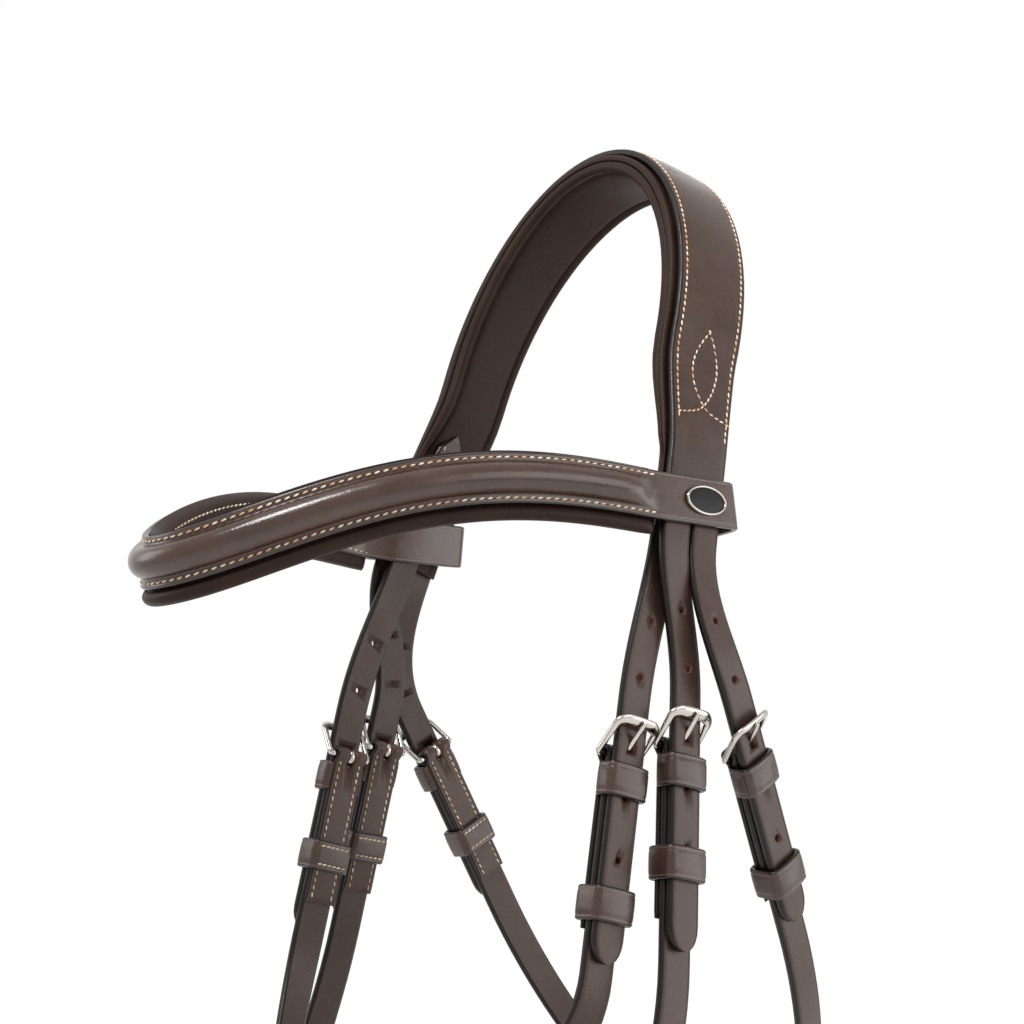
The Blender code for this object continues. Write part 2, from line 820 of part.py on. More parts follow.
def make_crown_padding():
    frames = pad_frames()
    bm = bmesh.new()
    loft(bm, [section(frame, pad_lining_outline(frame)) for frame in frames])
    finish("crown_lining", bm, LINING_LEATHER)
    bm = bmesh.new()
    thick_frames = [frame for frame in frames if frame_height(frame) > PAD_FLARE_RISE]
    loft(bm, [section(frame, pad_core_outline(frame)) for frame in thick_frames])
    finish("crown_pad_core", bm, FOAM)


def nose_billet_start():
    """The middle of the billet's inner face, as it leaves the browband's near loop."""
    rise = -(GAP + PAD_END_THICKNESS + GAP + LOWER_THICKNESS)
    return shifted(leg_frame(-SPLIT_DROP), rise=rise, across=-NOSE_BILLET_FORWARD)


def make_noseband_billets():
    """Front billets whose pointed upper ends are sewn to the lining's inner side."""
    station = STATION_BY_NAME["noseband"]
    start = nose_billet_start()
    sewn = []
    for height in (NOSE_BILLET_RISE, NOSE_BILLET_RISE - TIP_LENGTH, PAD_FLARE_RISE, PAD_FLAP_RISE, 0.0):
        leg = leg_frame(height)
        rise = -(GAP + pad_shape(leg)[2] + GAP + LOWER_THICKNESS)
        sewn.append(shifted(leg, rise=rise, across=-NOSE_BILLET_FORWARD))
    top = section(sewn[0], strap_outline(STRAP_WIDTH * TIP_SHARES[1], 0.0, LOWER_THICKNESS))
    upper = [section(frame, strap_outline(STRAP_WIDTH, 0.0, LOWER_THICKNESS)) for frame in sewn[1:]]
    for name, side in SIDES:
        rings = [top] + upper + billet_rings(station, start, LOWER_THICKNESS)
        bm = bmesh.new()
        loft(bm, [mirrored(ring, side) for ring in rings])
        strap = finish("noseband_billet_" + name, bm, LEATHER)
        cuts = billet_cuts(station, start, LOWER_THICKNESS)
        cut(strap, [[mirrored(ring, side) for ring in rings] for rings in cuts])


# Buckles

def make_buckle_frame(name, seat, side):
    """A rectangular wire frame whose lower bar lies in the strap's fold."""
    bar, run, out, length = tongue_geometry()
    half_bar = STRAP_WIDTH / 2 + GAP
    arm = half_bar + LOOSE_GAP + ARM_RADIUS
    round_bar, round_arm = (BAR_RADIUS, BAR_RADIUS), (ARM_RADIUS, ARM_RADIUS)
    broad = (TOP_BAR_HALF_WIDTH, TOP_BAR_HALF_THICKNESS)
    corner = ARM_RADIUS
    half_loop = [
        (0.0, 0.0, round_bar),
        (half_bar, 0.0, round_bar),
        (arm - corner / 4, corner / 2, round_arm),
        (arm, 2 * corner, round_arm),
        (arm, length - 3 * corner, round_arm),
        (arm - corner / 3, length - corner, ((broad[0] + ARM_RADIUS) / 2, broad[1])),
        (arm - 2 * corner, length, broad),
        (arm / 2, length + corner / 4, broad),
    ]
    loop = half_loop + [(0.0, length + corner / 4, broad)]
    loop += [(-across, distance, radii) for across, distance, radii in reversed(half_loop[1:])]
    plane_run = seat.along * run.x + seat.out * run.y
    plane_out = seat.along * out.x + seat.out * out.y
    centre = seat.at(bar.x, bar.y, 0)
    places = [centre + seat.side * across + plane_run * distance for across, distance, _ in loop]
    rings = []
    for i, place in enumerate(places):
        along = (places[(i + 1) % len(places)] - places[i - 1]).normalized()
        half_across, half_rise = loop[i][2]
        frame = Frame(place, along, plane_out)
        rings.append(mirrored(section(frame, round_outline(half_across, half_rise, WIRE_SIDES)), side))
    bm = bmesh.new()
    loft(bm, rings, closed=True)
    finish(name + "_buckle_frame", bm, STEEL)


def make_tongue(name, seat, side):
    """A flat tongue curled round the lower bar, which is its hinge."""
    bar, run, out, length = tongue_geometry()
    radius = tongue_radius()
    path = []
    for i in range(CURL_STEPS + 1):
        turn = CURL_TURN * (1 - i / CURL_STEPS)
        normal = out * math.cos(turn) - run * math.sin(turn)
        path.append((bar + normal * radius, out * math.sin(turn) + run * math.cos(turn), normal, 1.0))
    for distance, share in zip((length / 2, length, length + TONGUE_OVERHANG), TONGUE_TAPER_SHARES):
        path.append((bar + out * radius + run * distance, run, out, share))
    rings = []
    for place, along, normal, share in path:
        frame = Frame(seat.at(place.x, place.y, 0), seat.along * along.x + seat.out * along.y,
                      seat.along * normal.x + seat.out * normal.y)
        outline = round_outline(TONGUE_WIDTH / 2 * share, TONGUE_THICKNESS / 2 * share, WIRE_SIDES)
        rings.append(mirrored(section(frame, outline), side))
    bm = bmesh.new()
    loft(bm, rings)
    hinge = mirrored([seat.at(bar.x, bar.y, 0)], side)[0]
    finish(name + "_buckle_tongue", bm, STEEL, hinge)


def sleeve_rings(half_width, low, high, wall, chamfer):
    """Corners of a flat sleeve's inside and outside, in pairs of across and rise."""

    def corners(grow, cut_off):
        half, bottom, top = half_width + grow, low - grow, high + grow
        inset = half - cut_off
        return [(half, bottom + cut_off), (half, top - cut_off), (inset, top), (-inset, top),
                (-half, top - cut_off), (-half, bottom + cut_off), (-inset, bottom), (inset, bottom)]

    return list(zip(corners(0.0, chamfer), corners(wall, wall)))


def make_sleeve(name, seat, side, place, low, high, slack):
    """A leather keeper or runner round the layers between low and high."""
    pairs = sleeve_rings(STRAP_WIDTH / 2 + slack, low - slack, high + slack, KEEPER_THICKNESS, GAP)
    first, last = place - KEEPER_LENGTH / 2, place + KEEPER_LENGTH / 2
    rings = []
    for inner, outer in pairs:
        corners = ((first, inner), (last, inner), (last, outer), (first, outer))
        rings.append([seat.at(run, rise, across) for run, (across, rise) in corners])
    bm = bmesh.new()
    loft(bm, [mirrored(ring, side) for ring in rings], closed=True)
    centre = mirrored([seat.at(place, (low + high) / 2, 0)], side)[0]
    finish(name, bm, LEATHER, centre)


def make_buckle(name, seat, side, runner_place, billet_thickness):
    """A buckle, its tongue, the fixed keeper below it and the sliding runner."""
    low = -(GAP + LOWER_THICKNESS + GAP + SKIVED_THICKNESS)
    make_buckle_frame(name, seat, side)
    make_tongue(name, seat, side)
    make_sleeve(name + "_keeper", seat, side, KEEPER_PLACE, low, billet_thickness, GAP)
    make_sleeve(name + "_runner", seat, side, runner_place, low, billet_thickness, LOOSE_GAP / 2)


# Lower straps, which carry the buckles

def fold_rows(tail, straight):
    """Frames and thicknesses of a strap's end in its buckle's own run and rise.

    The strap comes up the horse's side, folds round the lower bar and runs down under the billet.
    """
    bar = tongue_geometry()[0]
    radius = BAR_RADIUS + GAP + SKIVED_THICKNESS / 2
    main = -(GAP + LOWER_THICKNESS / 2)
    back = -(GAP + LOWER_THICKNESS + GAP + SKIVED_THICKNESS / 2)
    rows = [((tail, back), (-1, 0), SKIVED_THICKNESS), ((TAIL_MEET, back), (-1, 0), SKIVED_THICKNESS)]
    for i in range(FOLD_STEPS + 1):
        turn = math.pi * i / FOLD_STEPS
        place = (bar.x - radius * math.sin(turn), bar.y - radius * math.cos(turn))
        rows.append((place, (-math.cos(turn), math.sin(turn)), SKIVED_THICKNESS))
    rows += [((TAIL_MEET, main), (1, 0), LOWER_THICKNESS), ((straight, main), (1, 0), LOWER_THICKNESS)]
    return rows


def fold_frames(seat, tail, straight):
    frames, thicknesses = [], []
    for (run, rise), (step_run, step_rise), thickness in fold_rows(tail, straight):
        along = seat.along * step_run + seat.out * step_rise
        frames.append(Frame(seat.at(run, rise, 0), along, seat.out * step_run - seat.along * step_rise))
        thicknesses.append(thickness)
    return frames, thicknesses


def fold_slot_rings(seat):
    """The slot in the fold that lets the tongue swing on the bar."""
    half = TONGUE_WIDTH / 2 + LOOSE_GAP / 2
    high, low = GAP, -(LOWER_THICKNESS + 2 * SKIVED_THICKNESS + CUT_OVERRUN)
    top, bottom = -CUT_OVERRUN, CUT_OVERRUN + GAP
    corners = ((top, low), (top, high), (bottom, high), (bottom, low))
    return [[seat.at(run, rise, across) for run, rise in corners] for across in (-half, half)]


def strap_of(name, frames, thicknesses, cuts, side):
    bm = bmesh.new()
    outlines = [flat_outline(STRAP_WIDTH, thickness) for thickness in thicknesses]
    rings = [section(frame, outline) for frame, outline in zip(frames, outlines)]
    loft(bm, [mirrored(ring, side) for ring in rings])
    strap = finish(name, bm, LEATHER)
    cut(strap, [[mirrored(ring, side) for ring in rings] for rings in cuts])


def bit_frame():
    """The near cheekpiece's middle line above the bit's eye, running down."""
    along = Vector((BIT_OUT_SLOPE_SHARE, BIT_BACK_SLOPE_SHARE, -1)).normalized()
    place = LOOP_CENTRE + OUT * BIT_HALF_SPAN - BACK * BIT_FORWARD - UP * BIT_DROP
    return Frame(place, along, unit_out(along, OUT))


def bit_eye_frames(seat):
    """Round the eye and back up the horse's side."""
    radius = BIT_EYE_RADIUS + LOWER_THICKNESS / 2
    step = LOWER_THICKNESS + GAP
    drop = 2 * BIT_EYE_RADIUS
    rows = []
    for i in range(EYE_STEPS + 1):
        turn = math.pi * i / EYE_STEPS
        rows.append(((drop + radius * math.sin(turn), -radius + radius * math.cos(turn)),
                     (math.cos(turn), -math.sin(turn))))
    rows += [((0.0, -step), (-1, 0)), ((-BIT_RETURN_LENGTH, -step), (-1, 0))]
    frames = []
    for (run, rise), (step_run, step_rise) in rows:
        along = seat.along * step_run + seat.out * step_rise
        frames.append(Frame(seat.at(run, rise, 0), along, seat.out * step_run - seat.along * step_rise))
    return frames


def make_cheekpieces():
    seat, eye = station_frame(STATION_BY_NAME["cheek"]), bit_frame()
    frames, thicknesses = fold_frames(seat, TAIL_LENGTH, STRAIGHT_LENGTH)
    above_eye = shifted(eye, run=-BIT_RETURN_LENGTH - TIP_LENGTH)
    frames += bezier(frames[-1], above_eye, BEND_STEPS) + bit_eye_frames(eye)
    thicknesses += [LOWER_THICKNESS] * (len(frames) - len(thicknesses))
    step = LOWER_THICKNESS + GAP
    stud_seat = shifted(eye, run=-STUD_PLACE)
    outline = round_outline(STUD_RADIUS + GAP, STUD_RADIUS + GAP, WIRE_SIDES)
    stud_hole = [[stud_seat.at(run, rise, across) for run, across in outline]
                 for rise in (-step - LOWER_THICKNESS, LOWER_THICKNESS)]
    low, high = -step - LOWER_THICKNESS / 2, LOWER_THICKNESS / 2
    for name, side in SIDES:
        strap_of("cheekpiece_" + name, frames, thicknesses, [fold_slot_rings(seat), stud_hole], side)
        for count, place in (("upper", -BIT_KEEPER_PLACE - BIT_KEEPER_PITCH), ("lower", -BIT_KEEPER_PLACE)):
            make_sleeve(f"bit_keeper_{count}_{name}", eye, side, place, low, high, GAP)
        make_stud("bit_stud_" + name, stud_seat, low, high, side)


def make_stud(name, seat, low, high, side):
    """A stud whose heads hold the strap's returning end to its front layer."""
    head = STUD_HEAD_THICKNESS
    under, over = low - GAP, high + GAP
    profile = [(STUD_HEAD_RADIUS, under - head), (STUD_HEAD_RADIUS, under), (STUD_RADIUS, under),
               (STUD_RADIUS, over), (STUD_HEAD_RADIUS, over), (STUD_HEAD_RADIUS, over + head / 2)]
    rings = [[seat.at(run, rise, across) for run, across in round_outline(radius, radius, WIRE_SIDES)]
             for radius, rise in profile]
    bm = bmesh.new()
    loft(bm, [mirrored(ring, side) for ring in rings])
    finish(name, bm, STEEL)


def make_throatlatch():
    """One strap under the horse's throat, folded round a buckle at each end."""
    seat = station_frame(STATION_BY_NAME["throat"])
    frames, thicknesses = fold_frames(seat, TAIL_LENGTH, STRAIGHT_LENGTH)
    down = Vector((0, THROAT_LEAN_SHARE, -1)).normalized()
    lowest = Frame(LOOP_CENTRE + BACK * THROAT_BACK - UP * THROAT_DROP, -OUT, down)
    frames += bezier(frames[-1], lowest, BEND_STEPS)
    thicknesses += [LOWER_THICKNESS] * (len(frames) - len(thicknesses))
    frames += [mirror_frame(frame, reverse=True) for frame in reversed(frames[:-1])]
    thicknesses += thicknesses[-2::-1]
    slot = fold_slot_rings(seat)
    strap_of("throatlatch", frames, thicknesses, [slot, [mirrored(ring, -1) for ring in slot]], 1)


def make_noseband_cheekpieces():
    """Straps from the noseband's buckles down to the noseband, where they lap its outer side."""
    seat = station_frame(STATION_BY_NAME["noseband"])
    frames, thicknesses = fold_frames(seat, TAIL_LENGTH, STRAIGHT_LENGTH)
    band = band_frame(band_turn(NOSE_LAP_FORWARD, NOSEBAND), NOSEBAND)
    rise = BAND_THICKNESS + GAP + LOWER_THICKNESS / 2
    lap = Frame(band.at(0, rise, BAND_HALF_HEIGHT + GAP), -band.side, band.out)
    frames += bezier(frames[-1], lap, BEND_STEPS) + [shifted(lap, run=2 * BAND_HALF_HEIGHT)]
    thicknesses += [LOWER_THICKNESS] * (len(frames) - len(thicknesses))
    for name, side in SIDES:
        strap_of("noseband_cheekpiece_" + name, frames, thicknesses, [fold_slot_rings(seat)], side)


def make_chin_strap():
    """A strap sewn to the noseband's far end that goes under the chin to a buckle at the near end."""
    seat = chin_frame()
    end = band_frame(math.pi / 2, NOSEBAND)
    lap = shifted(end, run=-CHIN_LAP_LENGTH, rise=BAND_THICKNESS + GAP + BILLET_THICKNESS / 2)
    far_lap = mirror_frame(lap)
    middle = shifted(seat, rise=BILLET_THICKNESS / 2)
    leave = shifted(middle, run=-BILLET_LEAD)
    straight = shifted(far_lap, run=CHIN_LAP_LENGTH + CHIN_BUCKLE_BACK + BILLET_LEAD)
    turn = bezier(straight, leave, 2 * BEND_STEPS, SEMICIRCLE_REACH_SHARE)
    # The strap stands on its edge, so its outer side stays level all the way round
    level = [Frame(frame.point, frame.along, UP.cross(frame.along).normalized()) for frame in turn]
    frames = [far_lap, straight] + level
    frames += tip_frames(middle, CHIN_TIP)
    widths = billet_widths(frames)
    bm = bmesh.new()
    outlines = [flat_outline(width, BILLET_THICKNESS) for width in widths]
    loft(bm, [section(frame, outline) for frame, outline in zip(frames, outlines)])
    strap = finish("chin_strap", bm, LEATHER)
    holes = [hole_rings(shifted(seat, run=HOLE_PITCH * count - TONGUE_HOLE_RISE), BILLET_THICKNESS)
             for count in range(1, HOLES_BELOW + 1)]
    cut(strap, [tongue_hole_rings(seat)] + holes)
    chape, thicknesses = fold_frames(seat, CHIN_TAIL_LENGTH, CHIN_BUCKLE_BACK + CHIN_LAP_LENGTH)
    strap_of("chin_chape", chape, thicknesses, [fold_slot_rings(seat)], 1)
    make_buckle("chin", seat, 1, CHIN_RUNNER_PLACE, BILLET_THICKNESS)


def clear_scene():
    for made in list(bpy.data.objects):
        bpy.data.objects.remove(made, do_unlink=True)


def main():
    clear_scene()
    make_crown_strap()
    make_crown_padding()
    make_noseband_billets()
    make_browband_face()
    make_band_core(BROWBAND)
    make_band_lining(BROWBAND)
    make_badge()
    for station in STATIONS:
        thickness = LOWER_THICKNESS if station.name == "noseband" else BILLET_THICKNESS
        for name, side in SIDES:
            buckle = f"{station.name}_{name}"
            place = LOW_RUNNER_PLACE if buckle in LOW_RUNNERS else RUNNER_PLACE
            make_buckle(buckle, station_frame(station), side, place, thickness)
    make_cheekpieces()
    make_throatlatch()
    make_noseband_cheekpieces()
    make_noseband_face()
    make_band_core(NOSEBAND)
    make_band_lining(NOSEBAND)
    make_chin_strap()


main()
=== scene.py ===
"""Looks of a padded leather bridle: finished leather, stitching, buckles and a plain studio.

Units are metres, +Z is up, the horse's nose points to -Y and the near side is +X.
"""

import logging
import math
from dataclasses import dataclass, field
from enum import Enum

import bmesh
import bpy
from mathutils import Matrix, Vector


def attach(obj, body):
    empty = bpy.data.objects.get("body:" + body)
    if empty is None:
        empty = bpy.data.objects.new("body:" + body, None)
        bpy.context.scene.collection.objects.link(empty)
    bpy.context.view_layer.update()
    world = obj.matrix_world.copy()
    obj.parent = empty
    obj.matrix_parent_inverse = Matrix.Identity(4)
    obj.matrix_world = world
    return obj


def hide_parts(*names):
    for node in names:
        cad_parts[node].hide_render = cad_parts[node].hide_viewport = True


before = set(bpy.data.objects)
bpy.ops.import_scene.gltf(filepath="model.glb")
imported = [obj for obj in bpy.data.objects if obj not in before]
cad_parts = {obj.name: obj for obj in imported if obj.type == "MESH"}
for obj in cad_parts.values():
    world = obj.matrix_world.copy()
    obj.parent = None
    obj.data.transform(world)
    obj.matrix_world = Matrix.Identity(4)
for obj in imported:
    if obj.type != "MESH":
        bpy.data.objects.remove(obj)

LOG = logging.getLogger("bridle")
MM = 0.001

# Between pieces that lie on each other, and round those that slide
GAP = 0.0003
LOOSE_GAP = 0.0008

# A section's points hold their distance from the cut edge in millimetres, or one of these two
PLAIN_LEATHER = 4.0
FLESH_SIDE = 8.0

# A warm iron presses a line this far in from the edge and this deep
LINE_INSET = 1.35 * MM
LINE_DEPTH = 0.16 * MM

LEATHER_IOR = 1.48
SHARP_ANGLE = math.radians(55)

# From one stitch to the next: along the bands, the headpiece's edges, the tails, the shaped seams and the runners
BAND_PITCH = 0.0029
EDGE_PITCH = 0.0027
TAIL_PITCH = 0.0028
SHAPE_PITCH = 0.0026
RUNNER_PITCH = 0.0022


# Finishes

def linear(hex_colour: str) -> tuple[float, float, float, float]:
    """Turn an sRGB hex colour to linear light.

    Args:
        hex_colour: Six hex digits after a hash.

    Returns:
        Red, green, blue and alpha.
    """
    values = [int(hex_colour[i:i + 2], 16) / 255 for i in (1, 3, 5)]
    red, green, blue = (v / 12.92 if v <= 0.04045 else ((v + 0.055) / 1.055) ** 2.4 for v in values)
    return red, green, blue, 1.0


def add(tree: bpy.types.NodeTree, kind: str, settings: dict | None = None,
        links: dict | None = None) -> bpy.types.Node:
    """Add a node with its settings and its inputs.

    Args:
        tree: The node tree.
        kind: The node's type.
        settings: The node's own properties.
        links: Values or output sockets, by the input's name or number.

    Returns:
        The new node.
    """
    node = tree.nodes.new(kind)
    for name, value in (settings or {}).items():
        setattr(node, name, value)
    for name, value in (links or {}).items():
        if isinstance(value, bpy.types.NodeSocket):
            tree.links.new(value, node.inputs[name])
        else:
            node.inputs[name].default_value = value
    return node


def new_material(name: str) -> tuple[bpy.types.Material, bpy.types.NodeTree, bpy.types.Node]:
    """Make an empty node material.

    Args:
        name: The finish's name.

    Returns:
        The material, its tree and its Principled shader.
    """
    made = bpy.data.materials.new(name)
    made.use_nodes = True
    tree = made.node_tree
    return made, tree, tree.nodes["Principled BSDF"]


@dataclass(frozen=True)
class Leather:
    """Dyed leather: fine pores, soft cloudy dye, dark burnished cut edges, painted shade in grooves and an ironed
    line painted paler as a painted sheen.
    """

    name: str
    colour: str
    shade: str
    edge: str
    line: str
    flesh: str
    roughness: float
    pore_mm: float
    pore_depth_mm: float
    crease_depth_mm: float
    gloss: float
    cloud_mm: float = 14.0
    fine_mm: float = 1.6
    crease_mm: float = 4.5

    def make(self) -> bpy.types.Material:
        """Build the material.

        Returns:
            The material.
        """
        made, tree, shader = new_material(self.name)
        place = add(tree, "ShaderNodeTexCoord").outputs["Object"]
        cloud = add(tree, "ShaderNodeTexNoise",
                    links={"Vector": place, "Scale": 1 / (self.cloud_mm * MM), "Detail": 5.0})
        fine = add(tree, "ShaderNodeTexNoise",
                   links={"Vector": place, "Scale": 1 / (self.fine_mm * MM), "Detail": 3.0})
        # Pores are about half a millimetre across, the finest that show from a step away
        pores = add(tree, "ShaderNodeTexVoronoi", {"feature": "SMOOTH_F1"},
                    {"Vector": place, "Scale": 1 / (self.pore_mm * MM), "Smoothness": 0.4})
        creases = add(tree, "ShaderNodeTexNoise", {"noise_type": "RIDGED_MULTIFRACTAL"},
                      {"Vector": place, "Scale": 1 / (self.crease_mm * MM), "Detail": 4.0})
        mottled = add(tree, "ShaderNodeMath", {"operation": "MULTIPLY_ADD"},
                      {0: fine.outputs[0], 1: 0.35, 2: cloud.outputs[0]})
        dye = add(tree, "ShaderNodeMapRange", links={"Value": mottled.outputs[0], "From Min": 0.45, "From Max": 0.95})
        body = add(tree, "ShaderNodeMix", {"data_type": "RGBA"},
                   {0: dye.outputs[0], 6: linear(self.shade), 7: linear(self.colour)})
        # The cut edge is dyed and burnished dark, and just inside it, where a warm iron presses a line, a paler
        # colour is a painted sheen along the crease
        inset = add(tree, "ShaderNodeUVMap", {"uv_map": "edge_mm"}).outputs["UV"]
        edge = add(tree, "ShaderNodeSeparateXYZ", links={0: inset}).outputs[0]
        share = add(tree, "ShaderNodeMath", {"operation": "DIVIDE"}, {0: edge, 1: PLAIN_LEATHER}).outputs[0]
        ramp = add(tree, "ShaderNodeValToRGB", links={"Fac": share})
        stops = ((0.0, 0.0), (0.10, 0.0), (0.19, 0.55), (0.27, 0.72), (0.36, 0.52), (0.42, 0.52))
        elements = ramp.color_ramp.elements
        while len(elements) < len(stops):
            elements.new(0.5)
        for element, (place_share, value) in zip(elements, stops):
            element.position = place_share
            element.color = (value, value, value, 1.0)
        grey = ramp.outputs["Color"]
        # The same dark edge colour, put where the lining's grooves are marked, is painted shade
        edge_dye_and_groove_shade = add(tree, "ShaderNodeMapRange", links={"Value": grey, "From Min": 0.0, "From Max": 0.5})
        # The paler colour on the ironed line is a painted sheen
        line_sheen_mask = add(tree, "ShaderNodeMapRange", links={"Value": grey, "From Min": 0.53, "From Max": 0.75})
        with_edge = add(tree, "ShaderNodeMix", {"data_type": "RGBA"},
                        {0: edge_dye_and_groove_shade.outputs[0], 6: linear(self.edge), 7: body.outputs[2]})
        with_painted_line_sheen = add(tree, "ShaderNodeMix", {"data_type": "RGBA"},
                        {0: line_sheen_mask.outputs[0], 6: with_edge.outputs[2], 7: linear(self.line)})
        # The straps' inner faces are coloured darker and redder than their outer faces
        inner = add(tree, "ShaderNodeMapRange",
                    links={"Value": edge, "From Min": PLAIN_LEATHER + 0.5, "From Max": FLESH_SIDE - 1.0})
        with_flesh = add(tree, "ShaderNodeMix", {"data_type": "RGBA"},
                         {0: inner.outputs[0], 6: with_painted_line_sheen.outputs[2], 7: linear(self.flesh)})
        tree.links.new(with_flesh.outputs[2], shader.inputs["Base Color"])
        rough = add(tree, "ShaderNodeMapRange",
                    links={"Value": cloud.outputs[0], "From Min": 0.3, "From Max": 0.7,
                           "To Min": self.roughness - 0.06, "To Max": self.roughness + 0.08})
        tree.links.new(rough.outputs[0], shader.inputs["Roughness"])
        low = add(tree, "ShaderNodeBump", links={"Height": creases.outputs[0], "Strength": 0.6,
                                                 "Distance": self.crease_depth_mm * MM})
        high = add(tree, "ShaderNodeBump", links={"Height": pores.outputs["Distance"], "Strength": 0.8,
                                                  "Distance": self.pore_depth_mm * MM, "Normal": low.outputs[0]})
        tree.links.new(high.outputs[0], shader.inputs["Normal"])
        shader.inputs["IOR"].default_value = LEATHER_IOR
        shader.inputs["Specular IOR Level"].default_value = self.gloss
        return made


@dataclass(frozen=True)
class WaxedThread:
    """Waxed linen thread, twisted from a few plies and a little soiled in patches."""

    name: str
    colour: str
    shade: str
    roughness: float
    ply_mm: float = 1.1
    soil_mm: float = 5.0

    def make(self) -> bpy.types.Material:
        """Build the material.

        Returns:
            The material.
        """
        made, tree, shader = new_material(self.name)
        place = add(tree, "ShaderNodeTexCoord").outputs["Object"]
        # Plies are 0.2 mm wide, drawn coarser than real so that the twist shows
        plies = add(tree, "ShaderNodeTexWave", {"bands_direction": "DIAGONAL"},
                    {"Vector": place, "Scale": 1 / (self.ply_mm * MM), "Distortion": 1.5})
        soil = add(tree, "ShaderNodeTexNoise", links={"Vector": place, "Scale": 1 / (self.soil_mm * MM)})
        strong = add(tree, "ShaderNodeMapRange", links={"Value": soil.outputs[0], "From Min": 0.42, "From Max": 0.60})
        tint = add(tree, "ShaderNodeMix", {"data_type": "RGBA"},
                   {0: strong.outputs[0], 6: linear(self.colour), 7: linear(self.shade)})
        bump = add(tree, "ShaderNodeBump", links={"Height": plies.outputs["Fac"], "Strength": 0.5,
                                                  "Distance": 0.06 * MM})
        tree.links.new(tint.outputs[2], shader.inputs["Base Color"])
        tree.links.new(bump.outputs[0], shader.inputs["Normal"])
        shader.inputs["Roughness"].default_value = self.roughness
        return made


@dataclass(frozen=True)
class PolishedSteel:
    """Cast stainless steel, tumbled and polished, with faint uneven wear."""

    name: str
    colour: str
    roughness: float
    wear_mm: float = 2.5

    def make(self) -> bpy.types.Material:
        """Build the material.

        Returns:
            The material.
        """
        made, tree, shader = new_material(self.name)
        place = add(tree, "ShaderNodeTexCoord").outputs["Object"]
        wear = add(tree, "ShaderNodeTexNoise",
                   links={"Vector": place, "Scale": 1 / (self.wear_mm * MM), "Detail": 4.0})
        rough = add(tree, "ShaderNodeMapRange", links={"Value": wear.outputs[0], "From Min": 0.35, "From Max": 0.7,
                                                       "To Min": self.roughness * 0.75,
                                                       "To Max": self.roughness * 1.6})
        bump = add(tree, "ShaderNodeBump", links={"Height": wear.outputs[0], "Strength": 0.15,
                                                  "Distance": 0.02 * MM})
        tree.links.new(rough.outputs[0], shader.inputs["Roughness"])
        tree.links.new(bump.outputs[0], shader.inputs["Normal"])
        shader.inputs["Base Color"].default_value = linear(self.colour)
        shader.inputs["Metallic"].default_value = 1.0
        return made


@dataclass(frozen=True)
class Plain:
    """A matt surface with a little uneven grain: raw cut leather, the badge's inlay and the studio."""

    name: str
    colour: str
    roughness: float
    grain_mm: float
    grain_depth_mm: float
    gloss: float = 0.5

    def make(self) -> bpy.types.Material:
        """Build the material.

        Returns:
            The material.
        """
        made, tree, shader = new_material(self.name)
        place = add(tree, "ShaderNodeTexCoord").outputs["Object"]
        grain = add(tree, "ShaderNodeTexNoise", links={"Vector": place, "Scale": 1 / (self.grain_mm * MM)})
        bump = add(tree, "ShaderNodeBump", links={"Height": grain.outputs[0], "Distance": self.grain_depth_mm * MM})
        tree.links.new(bump.outputs[0], shader.inputs["Normal"])
        shader.inputs["Base Color"].default_value = linear(self.colour)
        shader.inputs["Roughness"].default_value = self.roughness
        shader.inputs["Specular IOR Level"].default_value = self.gloss
        return made


class Finish(Enum):
    """The real finishes on the bridle."""

    # Each leather's line colour is a painted sheen on its ironed line
    # Waxed straps stay dark and show a low, even light
    BRIDLE = Leather("waxed_bridle_leather", colour="#48352e", shade="#392922", edge="#171110", line="#5a4840",
                     flesh="#34231b", roughness=0.32, pore_mm=0.42, pore_depth_mm=0.05, crease_depth_mm=0.06,
                     gloss=0.25)
    # Keepers are rubbed bright on a block, so they carry more light than the straps
    KEEPER = Leather("burnished_keeper_leather", colour="#48352e", shade="#372721", edge="#171110", line="#5e4c45",
                     flesh="#34231b", roughness=0.24, pore_mm=0.50, pore_depth_mm=0.05, crease_depth_mm=0.08,
                     gloss=0.36)
    # Leather pulled over a cord is glazed, so one clear highlight runs along the roll
    ROLL = Leather("glazed_roll_leather", colour="#473026", shade="#38241c", edge="#171110", line="#64503f",
                   flesh="#38241c", roughness=0.22, pore_mm=0.50, pore_depth_mm=0.04, crease_depth_mm=0.09,
                   gloss=0.52)
    # Soft lining leather has no glaze, so it is the darkest and shows almost no highlight; its edge colour is painted
    # shade, used only in its grooves
    LINING = Leather("soft_lining_leather", colour="#33241e", shade="#281b17", edge="#0d0908", line="#33241e",
                     flesh="#33241e", roughness=0.46, pore_mm=0.55, pore_depth_mm=0.07, crease_depth_mm=0.10,
                     gloss=0.10)
    # Pale thread reads as a row of light dashes on the dark leather, and the inner one is duller
    THREAD = WaxedThread("waxed_straw_thread", colour="#f6e2c9", shade="#d2a074", roughness=0.60)
    INNER_THREAD = WaxedThread("waxed_flax_thread", colour="#dccbae", shade="#b59872", roughness=0.60)
    # Polished steel mirrors the white room, a little softened by wear
    STEEL = PolishedSteel("polished_stainless_steel", colour="#a9a39c", roughness=0.16)
    # Undyed hole walls show as a reddish ring, their colour darkened as painted shade inside the holes and slots
    RAW_CUT_WITH_PAINTED_SHADE = Plain("raw_punched_leather_painted_shade", colour="#5c352a", roughness=0.85, grain_mm=0.4, grain_depth_mm=0.08)
    # The badge's middle is nearly black, so that its bright rim stands out
    INLAY = Plain("grained_dark_inlay", colour="#0e0c0c", roughness=0.40, grain_mm=0.5, grain_depth_mm=0.12,
                  gloss=0.18)


